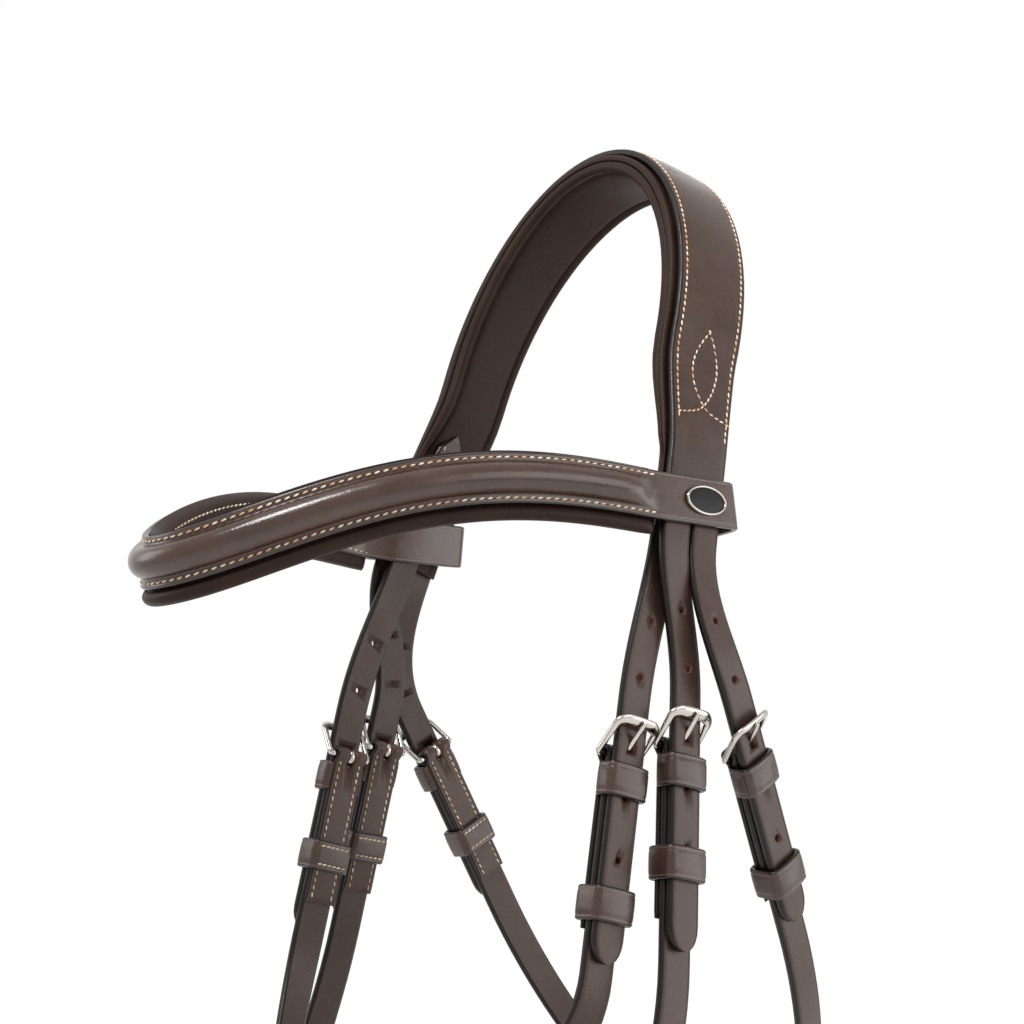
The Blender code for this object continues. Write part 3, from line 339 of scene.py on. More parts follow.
class Workshop:
    """Keeps one material for each finish."""

    def __init__(self) -> None:
        """Start with no materials made."""
        self.made: dict[Finish, bpy.types.Material] = {}

    def get(self, finish: Finish) -> bpy.types.Material:
        """Give the finish's material, making it the first time.

        Args:
            finish: The finish.

        Returns:
            The material.
        """
        if finish not in self.made:
            self.made[finish] = finish.value.make()
        return self.made[finish]


WORKSHOP = Workshop()


# Geometry

UP = Vector((0, 0, 1))
OUT = Vector((1, 0, 0))
BACK = Vector((0, 1, 0))
Outline = list[tuple[float, float, float]]
Ring = list[tuple[Vector, float]]


@dataclass
class Place:
    """A place on a strap: along is its run, out its outer side."""

    point: Vector
    along: Vector
    out: Vector

    @property
    def side(self) -> Vector:
        """The direction across the strap."""
        return self.out.cross(self.along)

    def at(self, run: float, rise: float, across: float) -> Vector:
        """Give the point so many metres along the strap, towards its outer side and across it."""
        return self.point + self.along * run + self.out * rise + self.side * across

    def moved(self, run: float = 0.0, rise: float = 0.0, across: float = 0.0) -> "Place":
        """Give the same directions at a point near the place."""
        return Place(self.at(run, rise, across), self.along, self.out)

    def turned(self, run: float, rise: float, step: tuple[float, float]) -> "Place":
        """Give a point near the place whose run follows a step of so much along and so much out."""
        along = self.along * step[0] + self.out * step[1]
        return Place(self.at(run, rise, 0), along, self.out * step[0] - self.along * step[1])

    def oval(self, long: float, tall: float, rise: float, count: int) -> list[Vector]:
        """Give points round an oval that lies flat at a rise, by its two half sizes."""
        return [self.at(long * math.cos(a), rise, tall * math.sin(a)) for a in around(count)]

    def mirrored(self, reverse: bool = False) -> "Place":
        """Give the place's mirror image on the other side, reversed if asked."""
        flip = Vector((-1, 1, 1))
        along = self.along * flip
        return Place(self.point * flip, -along if reverse else along, self.out * flip)


def square_out(along: Vector, out: Vector) -> Vector:
    """Give the part of out that is square to the run."""
    return (out - along * out.dot(along)).normalized()


def bend(start: Place, end: Place, steps: int, reach_share: float = 0.36) -> list[Place]:
    """Run a smooth bend between two places.

    Args:
        start: Where the bend starts, which isn't repeated.
        end: Where it ends.
        steps: How many places to give.
        reach_share: How far the ends' directions hold, as a share of the span.

    Returns:
        The places along the bend.
    """
    reach = (end.point - start.point).length * reach_share
    p0, p1, p2, p3 = start.point, start.point + start.along * reach, end.point - end.along * reach, end.point
    places = []
    for i in range(1, steps + 1):
        t = i / steps
        u = 1 - t
        point = p0 * u**3 + p1 * (3 * u * u * t) + p2 * (3 * u * t * t) + p3 * t**3
        slope = (p1 - p0) * (u * u) + (p2 - p1) * (2 * u * t) + (p3 - p2) * (t * t)
        along = slope.normalized()
        places.append(Place(point, along, square_out(along, start.out * u + end.out * t)))
    return places


def around(count: int) -> list[float]:
    """Give as many turns as counted, spread evenly round a circle."""
    return [2 * math.pi * i / count for i in range(count)]


def aimed(azimuth: float, elevation: float) -> Vector:
    """Give the direction from the object to a camera or a lamp, by its two angles in degrees."""
    turn, lift = math.radians(azimuth), math.radians(elevation)
    return Vector((math.sin(turn) * math.cos(lift), -math.cos(turn) * math.cos(lift), math.sin(lift)))


def smooth(value: float, low: float, high: float) -> float:
    """Give 0 below low, 1 above high and a soft step between."""
    share = min(max((value - low) / (high - low), 0.0), 1.0)
    return share * share * (3 - 2 * share)


def flip_points(points: list[Vector], side: int) -> list[Vector]:
    """Give the points on the near side, or mirrored on the far side where side is -1."""
    return [Vector((side * p.x, p.y, p.z)) for p in points]


def rounded(values: list[tuple[float, ...]], steps: int = 4, closed: bool = True) -> list[tuple[float, ...]]:
    """Run a smooth curve through rows of values.

    Args:
        values: Rows of numbers, such as across and rise.
        steps: Rows for each span.
        closed: Whether the last row leads back to the first.

    Returns:
        The smoother rows.
    """
    made = []
    count = len(values)
    for i in range(count if closed else count - 1):
        spots = [(i + k) % count if closed else min(max(i + k, 0), count - 1) for k in (-1, 0, 1, 2)]
        for j in range(steps):
            t = j / steps
            made.append(tuple(0.5 * (2 * b + (c - a) * t + (2 * a - 5 * b + 4 * c - d) * t * t
                                     + (3 * b - a - 3 * c + d) * t**3)
                              for a, b, c, d in zip(*(values[spot] for spot in spots))))
    return made if closed else made + [tuple(values[-1])]


def strap_outline(half: float, low: float, high: float, crown: float = 0.00012) -> Outline:
    """Draw a strap's section with round burnished edges and a line ironed beside each.

    Args:
        half: Half the width.
        low: Rise of its inner face.
        high: Rise of its outer face.
        crown: How far the middle of the outer face stands up.

    Returns:
        Across, rise and millimetres in from the cut edge, round the section.
    """
    radius = min((high - low) * 0.42, half * 0.5)
    line = min(LINE_INSET, half * 0.6)
    insets = [(radius, 0.0, 0.6), (line - 0.3 * MM, 0.0, 0.9), (line, LINE_DEPTH, 1.15),
              (line + 0.35 * MM, -0.03 * MM, 1.5)]
    right = []
    for turn in (0, 30, 60):
        angle = math.radians(turn)
        right.append((half - radius + radius * math.cos(angle), high - radius + radius * math.sin(angle),
                      0.5 * turn / 90))
    right += [(half - inset, high - drop, edge) for inset, drop, edge in insets if inset < half * 0.8]
    right += [(half * share, high + crown * (1 - share * share),
               min(max(half * (1 - share) / MM, 1.6), PLAIN_LEATHER))
              for share in (0.70, 0.45, 0.15)]
    top = right + [(-across, rise, edge) for across, rise, edge in reversed(right)]
    below = [(-half, (low + high) / 2, 0.0)]
    below += [(-half + radius * (1 - math.cos(a)), low + radius * (1 - math.sin(a)), 0.3)
              for a in (math.radians(40), math.radians(90))]
    inner = half - radius - 0.4 * MM
    below += [(-inner, low, FLESH_SIDE), (inner, low, FLESH_SIDE)]
    below += [(half - radius * (1 - math.cos(a)), low + radius * (1 - math.sin(a)), 0.3)
              for a in (math.radians(90), math.radians(40))]
    return top + below + [(half, (low + high) / 2, 0.0)]


def ring(place: Place, outline: Outline, pared: float = 1.0) -> Ring:
    """Set an outline at a place, where a share of the thickness is left."""
    return [(place.at(0, rise * pared, across), edge) for across, rise, edge in outline]


def tip_ring(place: Place, outline: Outline, share: float) -> Ring:
    """Set an outline at a place on a cut tip, where only a share of the width is left."""
    return [(place.at(0, rise, across * share), min(edge, PLAIN_LEATHER * share)) for across, rise, edge in outline]


def wire_ring(place: Place, wide: float, thick: float, count: int) -> Ring:
    """Set a cast bar's round or flat section at a place, by its two half sizes."""
    return [(place.at(0, thick * math.sin(a), wide * math.cos(a)), PLAIN_LEATHER) for a in around(count)]


def arc(centre: tuple[float, float], wide: float, tall: float, turns: tuple[int, ...]) -> list[tuple[float, float]]:
    """Give points on an oval's edge, by its two half sizes and turns in degrees."""
    return [(centre[0] + wide * math.cos(a), centre[1] + tall * math.sin(a))
            for a in (math.radians(turn) for turn in turns)]


def bridge(bm: bmesh.types.BMesh, rows: list[list[bmesh.types.BMVert]], closed: bool = False) -> None:
    """Join rows of corners with faces.

    Args:
        bm: The bmesh that holds the corners.
        rows: Rows with as many corners each.
        closed: True joins the last row to the first, and False caps both.
    """
    for first, second in list(zip(rows, rows[1:])) + ([(rows[-1], rows[0])] if closed else []):
        for i in range(len(first)):
            j = (i + 1) % len(first)
            bm.faces.new((first[i], first[j], second[j], second[i]))
    if not closed:
        bm.faces.new(rows[0])
        bm.faces.new(rows[-1][::-1])


def skin(name: str, rings: list[Ring], finish: Finish, side: int = 1,
         closed: bool = False) -> bpy.types.Object:
    """Skin a row of rings with leather or metal.

    Args:
        name: The piece's name.
        rings: Rings with as many points each.
        finish: The finish.
        side: -1 for the mirror image.
        closed: True joins the last ring to the first.

    Returns:
        The piece, a closed mesh.
    """
    bm = bmesh.new()
    layer = bm.loops.layers.uv.new("edge_mm")
    rows, insets = [], {}
    for row in rings:
        made = []
        for point, edge in row:
            vert = bm.verts.new((side * point.x, point.y, point.z))
            insets[vert] = edge
            made.append(vert)
        rows.append(made)
    bridge(bm, rows, closed)
    for face in bm.faces:
        for corner in face.loops:
            corner[layer].uv = (insets[corner.vert], 0.0)
    return piece_of(name, bm, finish)


def piece_of(name: str, bm: bmesh.types.BMesh, finish: Finish) -> bpy.types.Object:
    """Turn a bmesh into a smooth shaded piece with its faces outwards.

    Args:
        name: The piece's name.
        bm: The bmesh, which is freed.
        finish: The finish.

    Returns:
        The piece.
    """
    bmesh.ops.recalc_face_normals(bm, faces=bm.faces)
    mesh = bpy.data.meshes.new(name)
    bm.to_mesh(mesh)
    bm.free()
    mesh.shade_smooth()
    mesh.set_sharp_from_angle(angle=SHARP_ANGLE)
    mesh.materials.append(WORKSHOP.get(finish))
    made = bpy.data.objects.new(name, mesh)
    bpy.context.scene.collection.objects.link(made)
    return made


def fix(piece: bpy.types.Object, body: str, slot: str, *nodes: str) -> bpy.types.Object:
    """Fasten a finished piece to its body.

    Args:
        piece: The piece.
        body: The body that carries it.
        slot: Its material slot in the record; it is not used.
        nodes: The plain solids that it stands for.

    Returns:
        The piece.
    """
    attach(piece, body)
    if nodes:
        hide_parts(*nodes)
    LOG.info("%s rides on %s: %d faces", piece.name, body, len(piece.data.polygons))
    return piece


def fix_strap(piece: bpy.types.Object, node: str) -> None:
    """Fasten a leather piece of the headstall that stands for one plain solid."""
    fix(piece, "headstall", "strap_leather", node)


def joined(parts: list[bpy.types.Object]) -> bpy.types.Object:
    """Join parts of one piece of leather into the first.

    Args:
        parts: The parts.

    Returns:
        The first part with all their meshes.
    """
    with bpy.context.temp_override(active_object=parts[0], object=parts[0], selected_objects=parts,
                                   selected_editable_objects=parts):
        bpy.ops.object.join()
    return parts[0]


def baked(piece: bpy.types.Object) -> bpy.types.Object:
    """Apply a piece's modifiers to its mesh.

    Args:
        piece: The piece.

    Returns:
        The same piece with a plain mesh.
    """
    graph = bpy.context.evaluated_depsgraph_get()
    mesh = bpy.data.meshes.new_from_object(piece.evaluated_get(graph), depsgraph=graph)
    piece.modifiers.clear()
    piece.data = mesh
    return piece


def punch(piece: bpy.types.Object, cutters: list[list[list[Vector]]], side: int = 1) -> bpy.types.Object:
    """Cut holes through a piece, whose walls show raw leather darkened with painted shade.

    Args:
        piece: The piece.
        cutters: Each cutter as rings of points.
        side: -1 for the mirror image.

    Returns:
        The piece.
    """
    bm = bmesh.new()
    for rings in cutters:
        bridge(bm, [[bm.verts.new(p) for p in flip_points(points, side)] for points in rings])
    cutter = piece_of(piece.name + "_punch", bm, Finish.RAW_CUT_WITH_PAINTED_SHADE)
    boolean = piece.modifiers.new("Punch", "BOOLEAN")
    boolean.operation = "DIFFERENCE"
    boolean.solver = "EXACT"
    boolean.material_mode = "TRANSFER"
    boolean.object = cutter
    baked(piece)
    bpy.data.objects.remove(cutter, do_unlink=True)
    return piece


# Stitching

def stitch_tree() -> bpy.types.NodeTree:
    """Make the node tree that sews slanted stitches along rows of edges.

    Returns:
        The tree, whose inputs name its sizes and threads.
    """
    tree = bpy.data.node_groups.new("stitches_along_rows", "GeometryNodeTree")
    sockets = (("Rows", "Geometry"), ("Stitch length", "Float"), ("Thread width", "Float"), ("Slant", "Float"),
               ("Thread", "Material"), ("Inner thread", "Material"))
    for name, kind in sockets:
        tree.interface.new_socket(name, in_out="INPUT", socket_type="NodeSocket" + kind)
    tree.interface.new_socket("Stitches", in_out="OUTPUT", socket_type="NodeSocketGeometry")
    given = add(tree, "NodeGroupInput").outputs
    pitch = add(tree, "GeometryNodeInputNamedAttribute", {"data_type": "FLOAT"}, {"Name": "pitch"})
    outward = add(tree, "GeometryNodeInputNamedAttribute", {"data_type": "FLOAT_VECTOR"}, {"Name": "outward"})
    inside = add(tree, "GeometryNodeInputNamedAttribute", {"data_type": "BOOLEAN"}, {"Name": "inside"})
    tangent = add(tree, "GeometryNodeInputTangent")
    curves = add(tree, "GeometryNodeMeshToCurve", links={"Mesh": given["Rows"]})
    spaced = add(tree, "GeometryNodeResampleCurve", {"mode": "LENGTH"},
                 {"Curve": curves.outputs[0], "Length": pitch.outputs[0]})
    lie = add(tree, "FunctionNodeAxesToRotation", {"primary_axis": "Z", "secondary_axis": "X"},
              {0: outward.outputs[0], 1: tangent.outputs[0]})
    turn = add(tree, "FunctionNodeAxisAngleToRotation", links={"Axis": (0, 0, 1), "Angle": given["Slant"]})
    slanted = add(tree, "FunctionNodeRotateRotation", {"rotation_space": "LOCAL"},
                  {0: lie.outputs[0], 1: turn.outputs[0]})
    size = add(tree, "ShaderNodeCombineXYZ",
               links={0: given["Stitch length"], 1: given["Thread width"], 2: given["Thread width"]})
    bead = add(tree, "GeometryNodeMeshUVSphere", links={"Segments": 8, "Rings": 5, "Radius": 0.5})
    soft = add(tree, "GeometryNodeSetShadeSmooth", links={0: bead.outputs[0]})
    sewn = add(tree, "GeometryNodeInstanceOnPoints",
               links={"Points": spaced.outputs[0], "Instance": soft.outputs[0], "Rotation": slanted.outputs[0],
                      "Scale": size.outputs[0]})
    real = add(tree, "GeometryNodeRealizeInstances", links={0: sewn.outputs[0]})
    outer = add(tree, "GeometryNodeSetMaterial", links={"Geometry": real.outputs[0], "Material": given["Thread"]})
    inner = add(tree, "GeometryNodeSetMaterial",
                links={"Geometry": outer.outputs[0], "Selection": inside.outputs[0],
                       "Material": given["Inner thread"]})
    add(tree, "NodeGroupOutput", links={0: inner.outputs[0]})
    return tree


@dataclass
class SeamRow:
    """One row of stitches on a surface, in the inner thread where the surface looks inwards."""

    points: list[Vector]
    outward: list[Vector]
    pitch: float
    inside: bool


@dataclass
class Stitching:
    """All the stitches that one body carries."""

    body: str
    stitch_length: float = 0.0021
    thread_width: float = 0.00066
    slant: float = math.radians(10)
    rows: list[SeamRow] = field(default_factory=list)

    def sew(self, places: list[Place], across: float, rise: float, side: int = 1, pitch: float = BAND_PITCH,
            inside: bool = False) -> None:
        """Add a row at a distance across and over places on the near side, or mirrored where side is -1."""
        self.trace([place.at(0, rise, across) for place in places],
                   [-place.out if inside else place.out for place in places], side, pitch, inside)

    def trace(self, points: list[Vector], outward: list[Vector], side: int = 1, pitch: float = BAND_PITCH,
              inside: bool = False) -> None:
        """Add a row through points on the near side, or mirrored where side is -1."""
        self.rows.append(SeamRow(flip_points(points, side), flip_points(outward, side), pitch, inside))

    def build(self, tree: bpy.types.NodeTree, name: str, slot: str) -> bpy.types.Object:
        """Sew all the rows as one mesh.

        Args:
            tree: The node tree that sews.
            name: The piece's name.
            slot: Its material slot.

        Returns:
            The stitches.
        """
        mesh = bpy.data.meshes.new(name)
        points = [point for row in self.rows for point in row.points]
        edges, first = [], 0
        for row in self.rows:
            edges += [(first + i, first + i + 1) for i in range(len(row.points) - 1)]
            first += len(row.points)
        mesh.from_pydata(points, edges, [])
        outward = mesh.attributes.new("outward", "FLOAT_VECTOR", "POINT")
        outward.data.foreach_set("vector", [value for row in self.rows for out in row.outward for value in out])
        pitch = mesh.attributes.new("pitch", "FLOAT", "POINT")
        pitch.data.foreach_set("value", [row.pitch for row in self.rows for _ in row.points])
        inside = mesh.attributes.new("inside", "BOOLEAN", "POINT")
        inside.data.foreach_set("value", [row.inside for row in self.rows for _ in row.points])
        piece = bpy.data.objects.new(name, mesh)
        bpy.context.scene.collection.objects.link(piece)
        modifier = piece.modifiers.new("Stitches", "NODES")
        modifier.node_group = tree
        sizes = {"Stitch length": self.stitch_length, "Thread width": self.thread_width, "Slant": self.slant,
                 "Thread": WORKSHOP.get(Finish.THREAD), "Inner thread": WORKSHOP.get(Finish.INNER_THREAD)}
        for item in tree.interface.items_tree:
            if item.name in sizes:
                modifier[item.identifier] = sizes[item.name]
        return fix(baked(piece), self.body, slot)


# Shared stock and routes

STRAP_WIDTH = 0.0138
BILLET = 0.0030
LOWER = 0.0026
SKIVED = 0.0016
SIDES = (("near", 1), ("far", -1))


@dataclass(frozen=True)
class HeadRoute:
    """The headpiece's route, up one side of the head, over the poll and down the other side."""

    cap_half_span: float = 0.0665
    leg_half_span: float = 0.0740
    cap_rise: float = 0.0985
    leg_rise: float = 0.0600
    split_drop: float = 0.0120
    split_width: float = 0.0006
    poll_width: float = 0.0330
    tilt: float = math.radians(18)
    flare: float = math.radians(10)
    flare_low: float = 0.0130
    flare_high: float = 0.0600
    rise: float = 0.148015

    def tilted(self, across: float, rise: float) -> Vector:
        """Give a place or a direction in the headpiece's plane, which leans back."""
        return Vector((across, rise * math.sin(self.tilt), rise * math.cos(self.tilt)))

    def flared(self, place: Place, height: float) -> Place:
        """Turn a section so that its front edge leans inwards, about its rear edge."""
        turn = self.flare * smooth(height, self.flare_low, self.flare_high)
        side = place.side * math.cos(turn) + place.out * math.sin(turn)
        point = place.point + (place.side - side) * (self.poll_width / 2)
        return Place(point, place.along, place.out * math.cos(turn) - place.side * math.sin(turn))

    def leg_across(self, height: float) -> float:
        """Give how far out the straight part of a leg is at a height."""
        return self.leg_half_span + (self.cap_half_span - self.leg_half_span) * height / self.leg_rise

    def leg(self, height: float) -> Place:
        """Give the near side's inner face, running down, at a height above the browband's loops."""
        lift = max(height - self.leg_rise, 0.0) / self.cap_rise
        if lift > 0:
            across = self.cap_half_span * math.sqrt(1 - lift**2)
            run = Vector((self.cap_half_span**2 * lift, -self.cap_rise * across)).normalized()
        else:
            across = self.leg_across(height)
            run = Vector((self.leg_half_span - self.cap_half_span, -self.leg_rise)).normalized()
        plain = Place(self.tilted(across, height - self.rise), self.tilted(run.x, run.y), self.tilted(-run.y, run.x))
        return self.flared(plain, height)

    def places(self, low: float, cap_steps: int = 52, leg_steps: int = 16) -> list[Place]:
        """Run from the far leg over the poll to the near leg.

        Args:
            low: Height of both ends above the browband's loops.
            cap_steps: Places over the poll.
            leg_steps: Places on each leg.

        Returns:
            The places on the outer leather's inner face.
        """
        near = []
        for i in range(1, leg_steps + 1):
            height = self.leg_rise + (low - self.leg_rise) * i / leg_steps
            near.append((self.leg_across(height), height))
        cap = []
        for i in range(cap_steps):
            turn = math.pi * (i + 0.5) / cap_steps - math.pi / 2
            cap.append((self.cap_half_span * math.sin(turn), self.leg_rise + self.cap_rise * math.cos(turn)))
        pairs = [(-across, rise) for across, rise in reversed(near)] + cap + near
        made = []
        for i, (across, rise) in enumerate(pairs):
            before, after = pairs[max(i - 1, 0)], pairs[min(i + 1, len(pairs) - 1)]
            run = (Vector(after) - Vector(before)).normalized()
            plain = Place(self.tilted(across, rise - self.rise), self.tilted(*run), self.tilted(-run.y, run.x))
            made.append(self.flared(plain, rise))
        return made

    def height(self, place: Place) -> float:
        """Give a place's height above the browband's loops."""
        return place.point.z / math.cos(self.tilt) + self.rise

    def width(self, height: float) -> float:
        """Give the outer leather's width at a height."""
        narrow = 2 * STRAP_WIDTH + self.split_width
        return narrow + (self.poll_width - narrow) * min(max(height / self.rise, 0.0), 1.0)


@dataclass(frozen=True)
class Station:
    """A buckle's place on the near side, where its lower bar holds the billet."""

    name: str
    out_share: float
    back_share: float
    drop_share: float
    out_slope: float
    back_slope: float
    billet: float
    common_drop: float = 0.0845

    def seat(self, route: HeadRoute) -> Place:
        """Give the billet's inner face over the buckle's lower bar."""
        point = (route.leg(0).point + OUT * self.out_share * STRAP_WIDTH + BACK * self.back_share * STRAP_WIDTH
                 - UP * self.drop_share * self.common_drop)
        along = Vector((self.out_slope, self.back_slope, -1)).normalized()
        return Place(point, along, square_out(along, OUT))


ROUTE = HeadRoute()
CHEEK = Station("cheek", out_share=0.429, back_share=-0.889, drop_share=0.990, out_slope=0.114, back_slope=-0.170,
                billet=BILLET)
THROAT = Station("throat", out_share=0.729, back_share=1.217, drop_share=1.000, out_slope=-0.113, back_slope=0.526,
                 billet=BILLET)
NOSE = Station("noseband", out_share=0.076, back_share=-2.471, drop_share=1.025, out_slope=0.040, back_slope=-0.223,
               billet=LOWER)

# How far below their buckles the runners rest: two have slid lower than the others
RUNNER_PLACE = 0.0385
LOW_RUNNER_PLACE = 0.0480
LOW_RUNNERS = ("throat_near", "noseband_near")


# Buckle holes

@dataclass(frozen=True)
class Holes:
    """Punched holes along a billet and the slot that its buckle's tongue is in."""

    radius: float = 0.0013
    rim: float = 0.00035
    pitch: float = 0.0200
    tongue_rise: float = 0.0064
    overrun: float = 0.0010
    sides: int = 20

    def hole(self, place: Place, thick: float) -> list[list[Vector]]:
        """Give a round hole's cutter, whose rim is pressed in a little on the outer face."""
        spots = ((-self.overrun, self.radius), (thick - self.rim, self.radius),
                 (thick + self.rim * 0.4, self.radius + self.rim), (thick + self.overrun, self.radius + self.rim))
        return [place.oval(radius, radius, rise, self.sides) for rise, radius in spots]


HOLES = Holes()


# Buckles, keepers and runners

@dataclass(frozen=True)
class BuckleShape:
    """A cast buckle: a round lower bar, slim arms, a broad curved top bar and a flat tongue."""

    bar_radius: float = 0.00125
    arm_radius: float = 0.00112
    top_half_width: float = 0.0021
    top_half_thickness: float = 0.00105
    reach: float = 0.0105
    tongue_width: float = 0.0024
    tongue_thickness: float = 0.0014
    tongue_overhang: float = 0.0022
    tongue_rest: float = 0.0011
    fold_slot_top: float = -0.0040
    fold_slot_bottom: float = 0.0043
    fold_slot_overrun: float = 0.0040
    lift: float = math.radians(12)
    curl: float = math.radians(250)

    @property
    def bar(self) -> Vector:
        """The lower bar's centre, as run and rise."""
        return Vector((0, -(GAP + SKIVED + GAP + self.bar_radius)))

    @property
    def shank(self) -> tuple[Vector, Vector, float]:
        """The tongue's run, its outer side and the distance to the top bar."""
        top = Vector((-self.reach, BILLET + 2 * GAP + self.tongue_rest))
        run = (top - self.bar).normalized()
        return run, Vector((run.y, -run.x)), (top - self.bar).length

    @property
    def tongue_radius(self) -> float:
        """From the bar's centre to the middle of the tongue."""
        return self.bar_radius + GAP + self.tongue_thickness / 2

    def tongue_slot(self, seat: Place) -> list[list[Vector]]:
        """Give the cutter for the billet's hole that the tongue passes and swings in."""
        run, out, length = self.shank
        clear = self.tongue_thickness / 2 + LOOSE_GAP / 2

        def spot(offset: float, distance: float, lift: float) -> Vector:
            """Give a corner of the tongue's sweep, turned about the bar."""
            arm = out * offset + run * distance
            return self.bar + Vector((arm.x * math.cos(lift) + arm.y * math.sin(lift),
                                      arm.y * math.cos(lift) - arm.x * math.sin(lift)))

        low, high = self.tongue_radius - clear, self.tongue_radius + clear
        corners = [spot(low, 0, 0), spot(low, length, 0), spot(high, length, self.lift), spot(high, 0, self.lift)]
        half = self.tongue_width / 2 + LOOSE_GAP / 2
        return [[seat.at(corner.x, corner.y, across) for corner in corners] for across in (-half, half)]

    def fold_slot(self, seat: Place) -> list[list[Vector]]:
        """Give the cutter for the round-ended slot in the strap's fold, where the tongue swings."""
        half = self.tongue_width / 2 + LOOSE_GAP / 2
        low, high = -(LOWER + 2 * SKIVED + self.fold_slot_overrun), GAP
        round_end = [(self.fold_slot_bottom - half * (1 - math.sin(a)), -half * math.cos(a))
                     for a in (math.pi * i / 8 for i in range(9))]
        outline = [(self.fold_slot_top, -half)] + round_end + [(self.fold_slot_top, half)]
        return [[seat.at(run, rise, across) for run, across in outline] for rise in (low, high)]

    def build_frame(self, name: str, seat: Place, side: int) -> bpy.types.Object:
        """Bend the wire frame.

        Args:
            name: The buckle's name.
            seat: The billet's inner face over the lower bar, on the near side.
            side: -1 for the mirror image.

        Returns:
            The frame.
        """
        run, out, length = self.shank
        half_bar = STRAP_WIDTH / 2 + GAP
        thick, broad = self.arm_radius, (self.top_half_width, self.top_half_thickness)
        arm = half_bar + LOOSE_GAP + thick
        half = [(0.0, 0.0, 0.0, self.bar_radius, self.bar_radius),
                (half_bar, 0.0, 0.0, self.bar_radius, self.bar_radius),
                (arm - thick / 4, thick / 2, 0.0, thick * 1.05, thick),
                (arm, 2.4 * thick, 0.0, thick * 0.92, thick),
                (arm, length - 3.4 * thick, 0.0, thick * 1.05, thick),
                (arm - thick / 3, length - 1.2 * thick, 0.0, (broad[0] + thick) / 2, broad[1]),
                (arm - 2.2 * thick, length + 0.1 * thick, 0.0001, broad[0] * 0.98, broad[1]),
                (arm / 2, length + 0.5 * thick, 0.0004, broad[0], broad[1] * 1.02)]
        loop = half + [(0.0, length + 0.6 * thick, 0.0005, broad[0], broad[1])]
        loop += [(-across, *rest) for across, *rest in reversed(half[1:])]
        loop = rounded(loop, 4)
        plane_run = seat.along * run.x + seat.out * run.y
        plane_out = seat.along * out.x + seat.out * out.y
        centre = seat.at(self.bar.x, self.bar.y, 0)
        spots = [centre + seat.side * across + plane_run * distance + plane_out * lift
                 for across, distance, lift, _, _ in loop]
        rings = []
        for i, spot in enumerate(spots):
            along = (spots[(i + 1) % len(spots)] - spots[i - 1]).normalized()
            rings.append(wire_ring(Place(spot, along, plane_out), loop[i][3], loop[i][4], 14))
        return skin(name + "_buckle_frame_steel", rings, Finish.STEEL, side, closed=True)

    def build_tongue(self, name: str, seat: Place, side: int) -> bpy.types.Object:
        """Curl the tongue round the lower bar.

        Args:
            name: The buckle's name.
            seat: The billet's inner face over the lower bar, on the near side.
            side: -1 for the mirror image.

        Returns:
            The tongue.
        """
        run, out, length = self.shank
        path = []
        for i in range(15):
            turn = self.curl * (1 - i / 14)
            normal = out * math.cos(turn) - run * math.sin(turn)
            path.append((self.bar + normal * self.tongue_radius, out * math.sin(turn) + run * math.cos(turn),
                         normal, 0.9 + 0.1 * i / 14))
        tip = length + self.tongue_overhang
        for distance, share in ((length * 0.3, 1.0), (length * 0.6, 0.96), (length * 0.9, 0.86), (length, 0.84),
                                (tip - 0.0008, 0.72), (tip - 0.0002, 0.50), (tip, 0.22)):
            path.append((self.bar + out * self.tongue_radius + run * distance, run, out, share))
        rings = []
        for spot, along, normal, share in path:
            place = Place(seat.at(spot.x, spot.y, 0), seat.along * along.x + seat.out * along.y,
                          seat.along * normal.x + seat.out * normal.y)
            rings.append(wire_ring(place, self.tongue_width / 2 * share, self.tongue_thickness / 2 * share, 12))
        return skin(name + "_buckle_tongue_steel", rings, Finish.STEEL, side)


BUCKLE = BuckleShape()


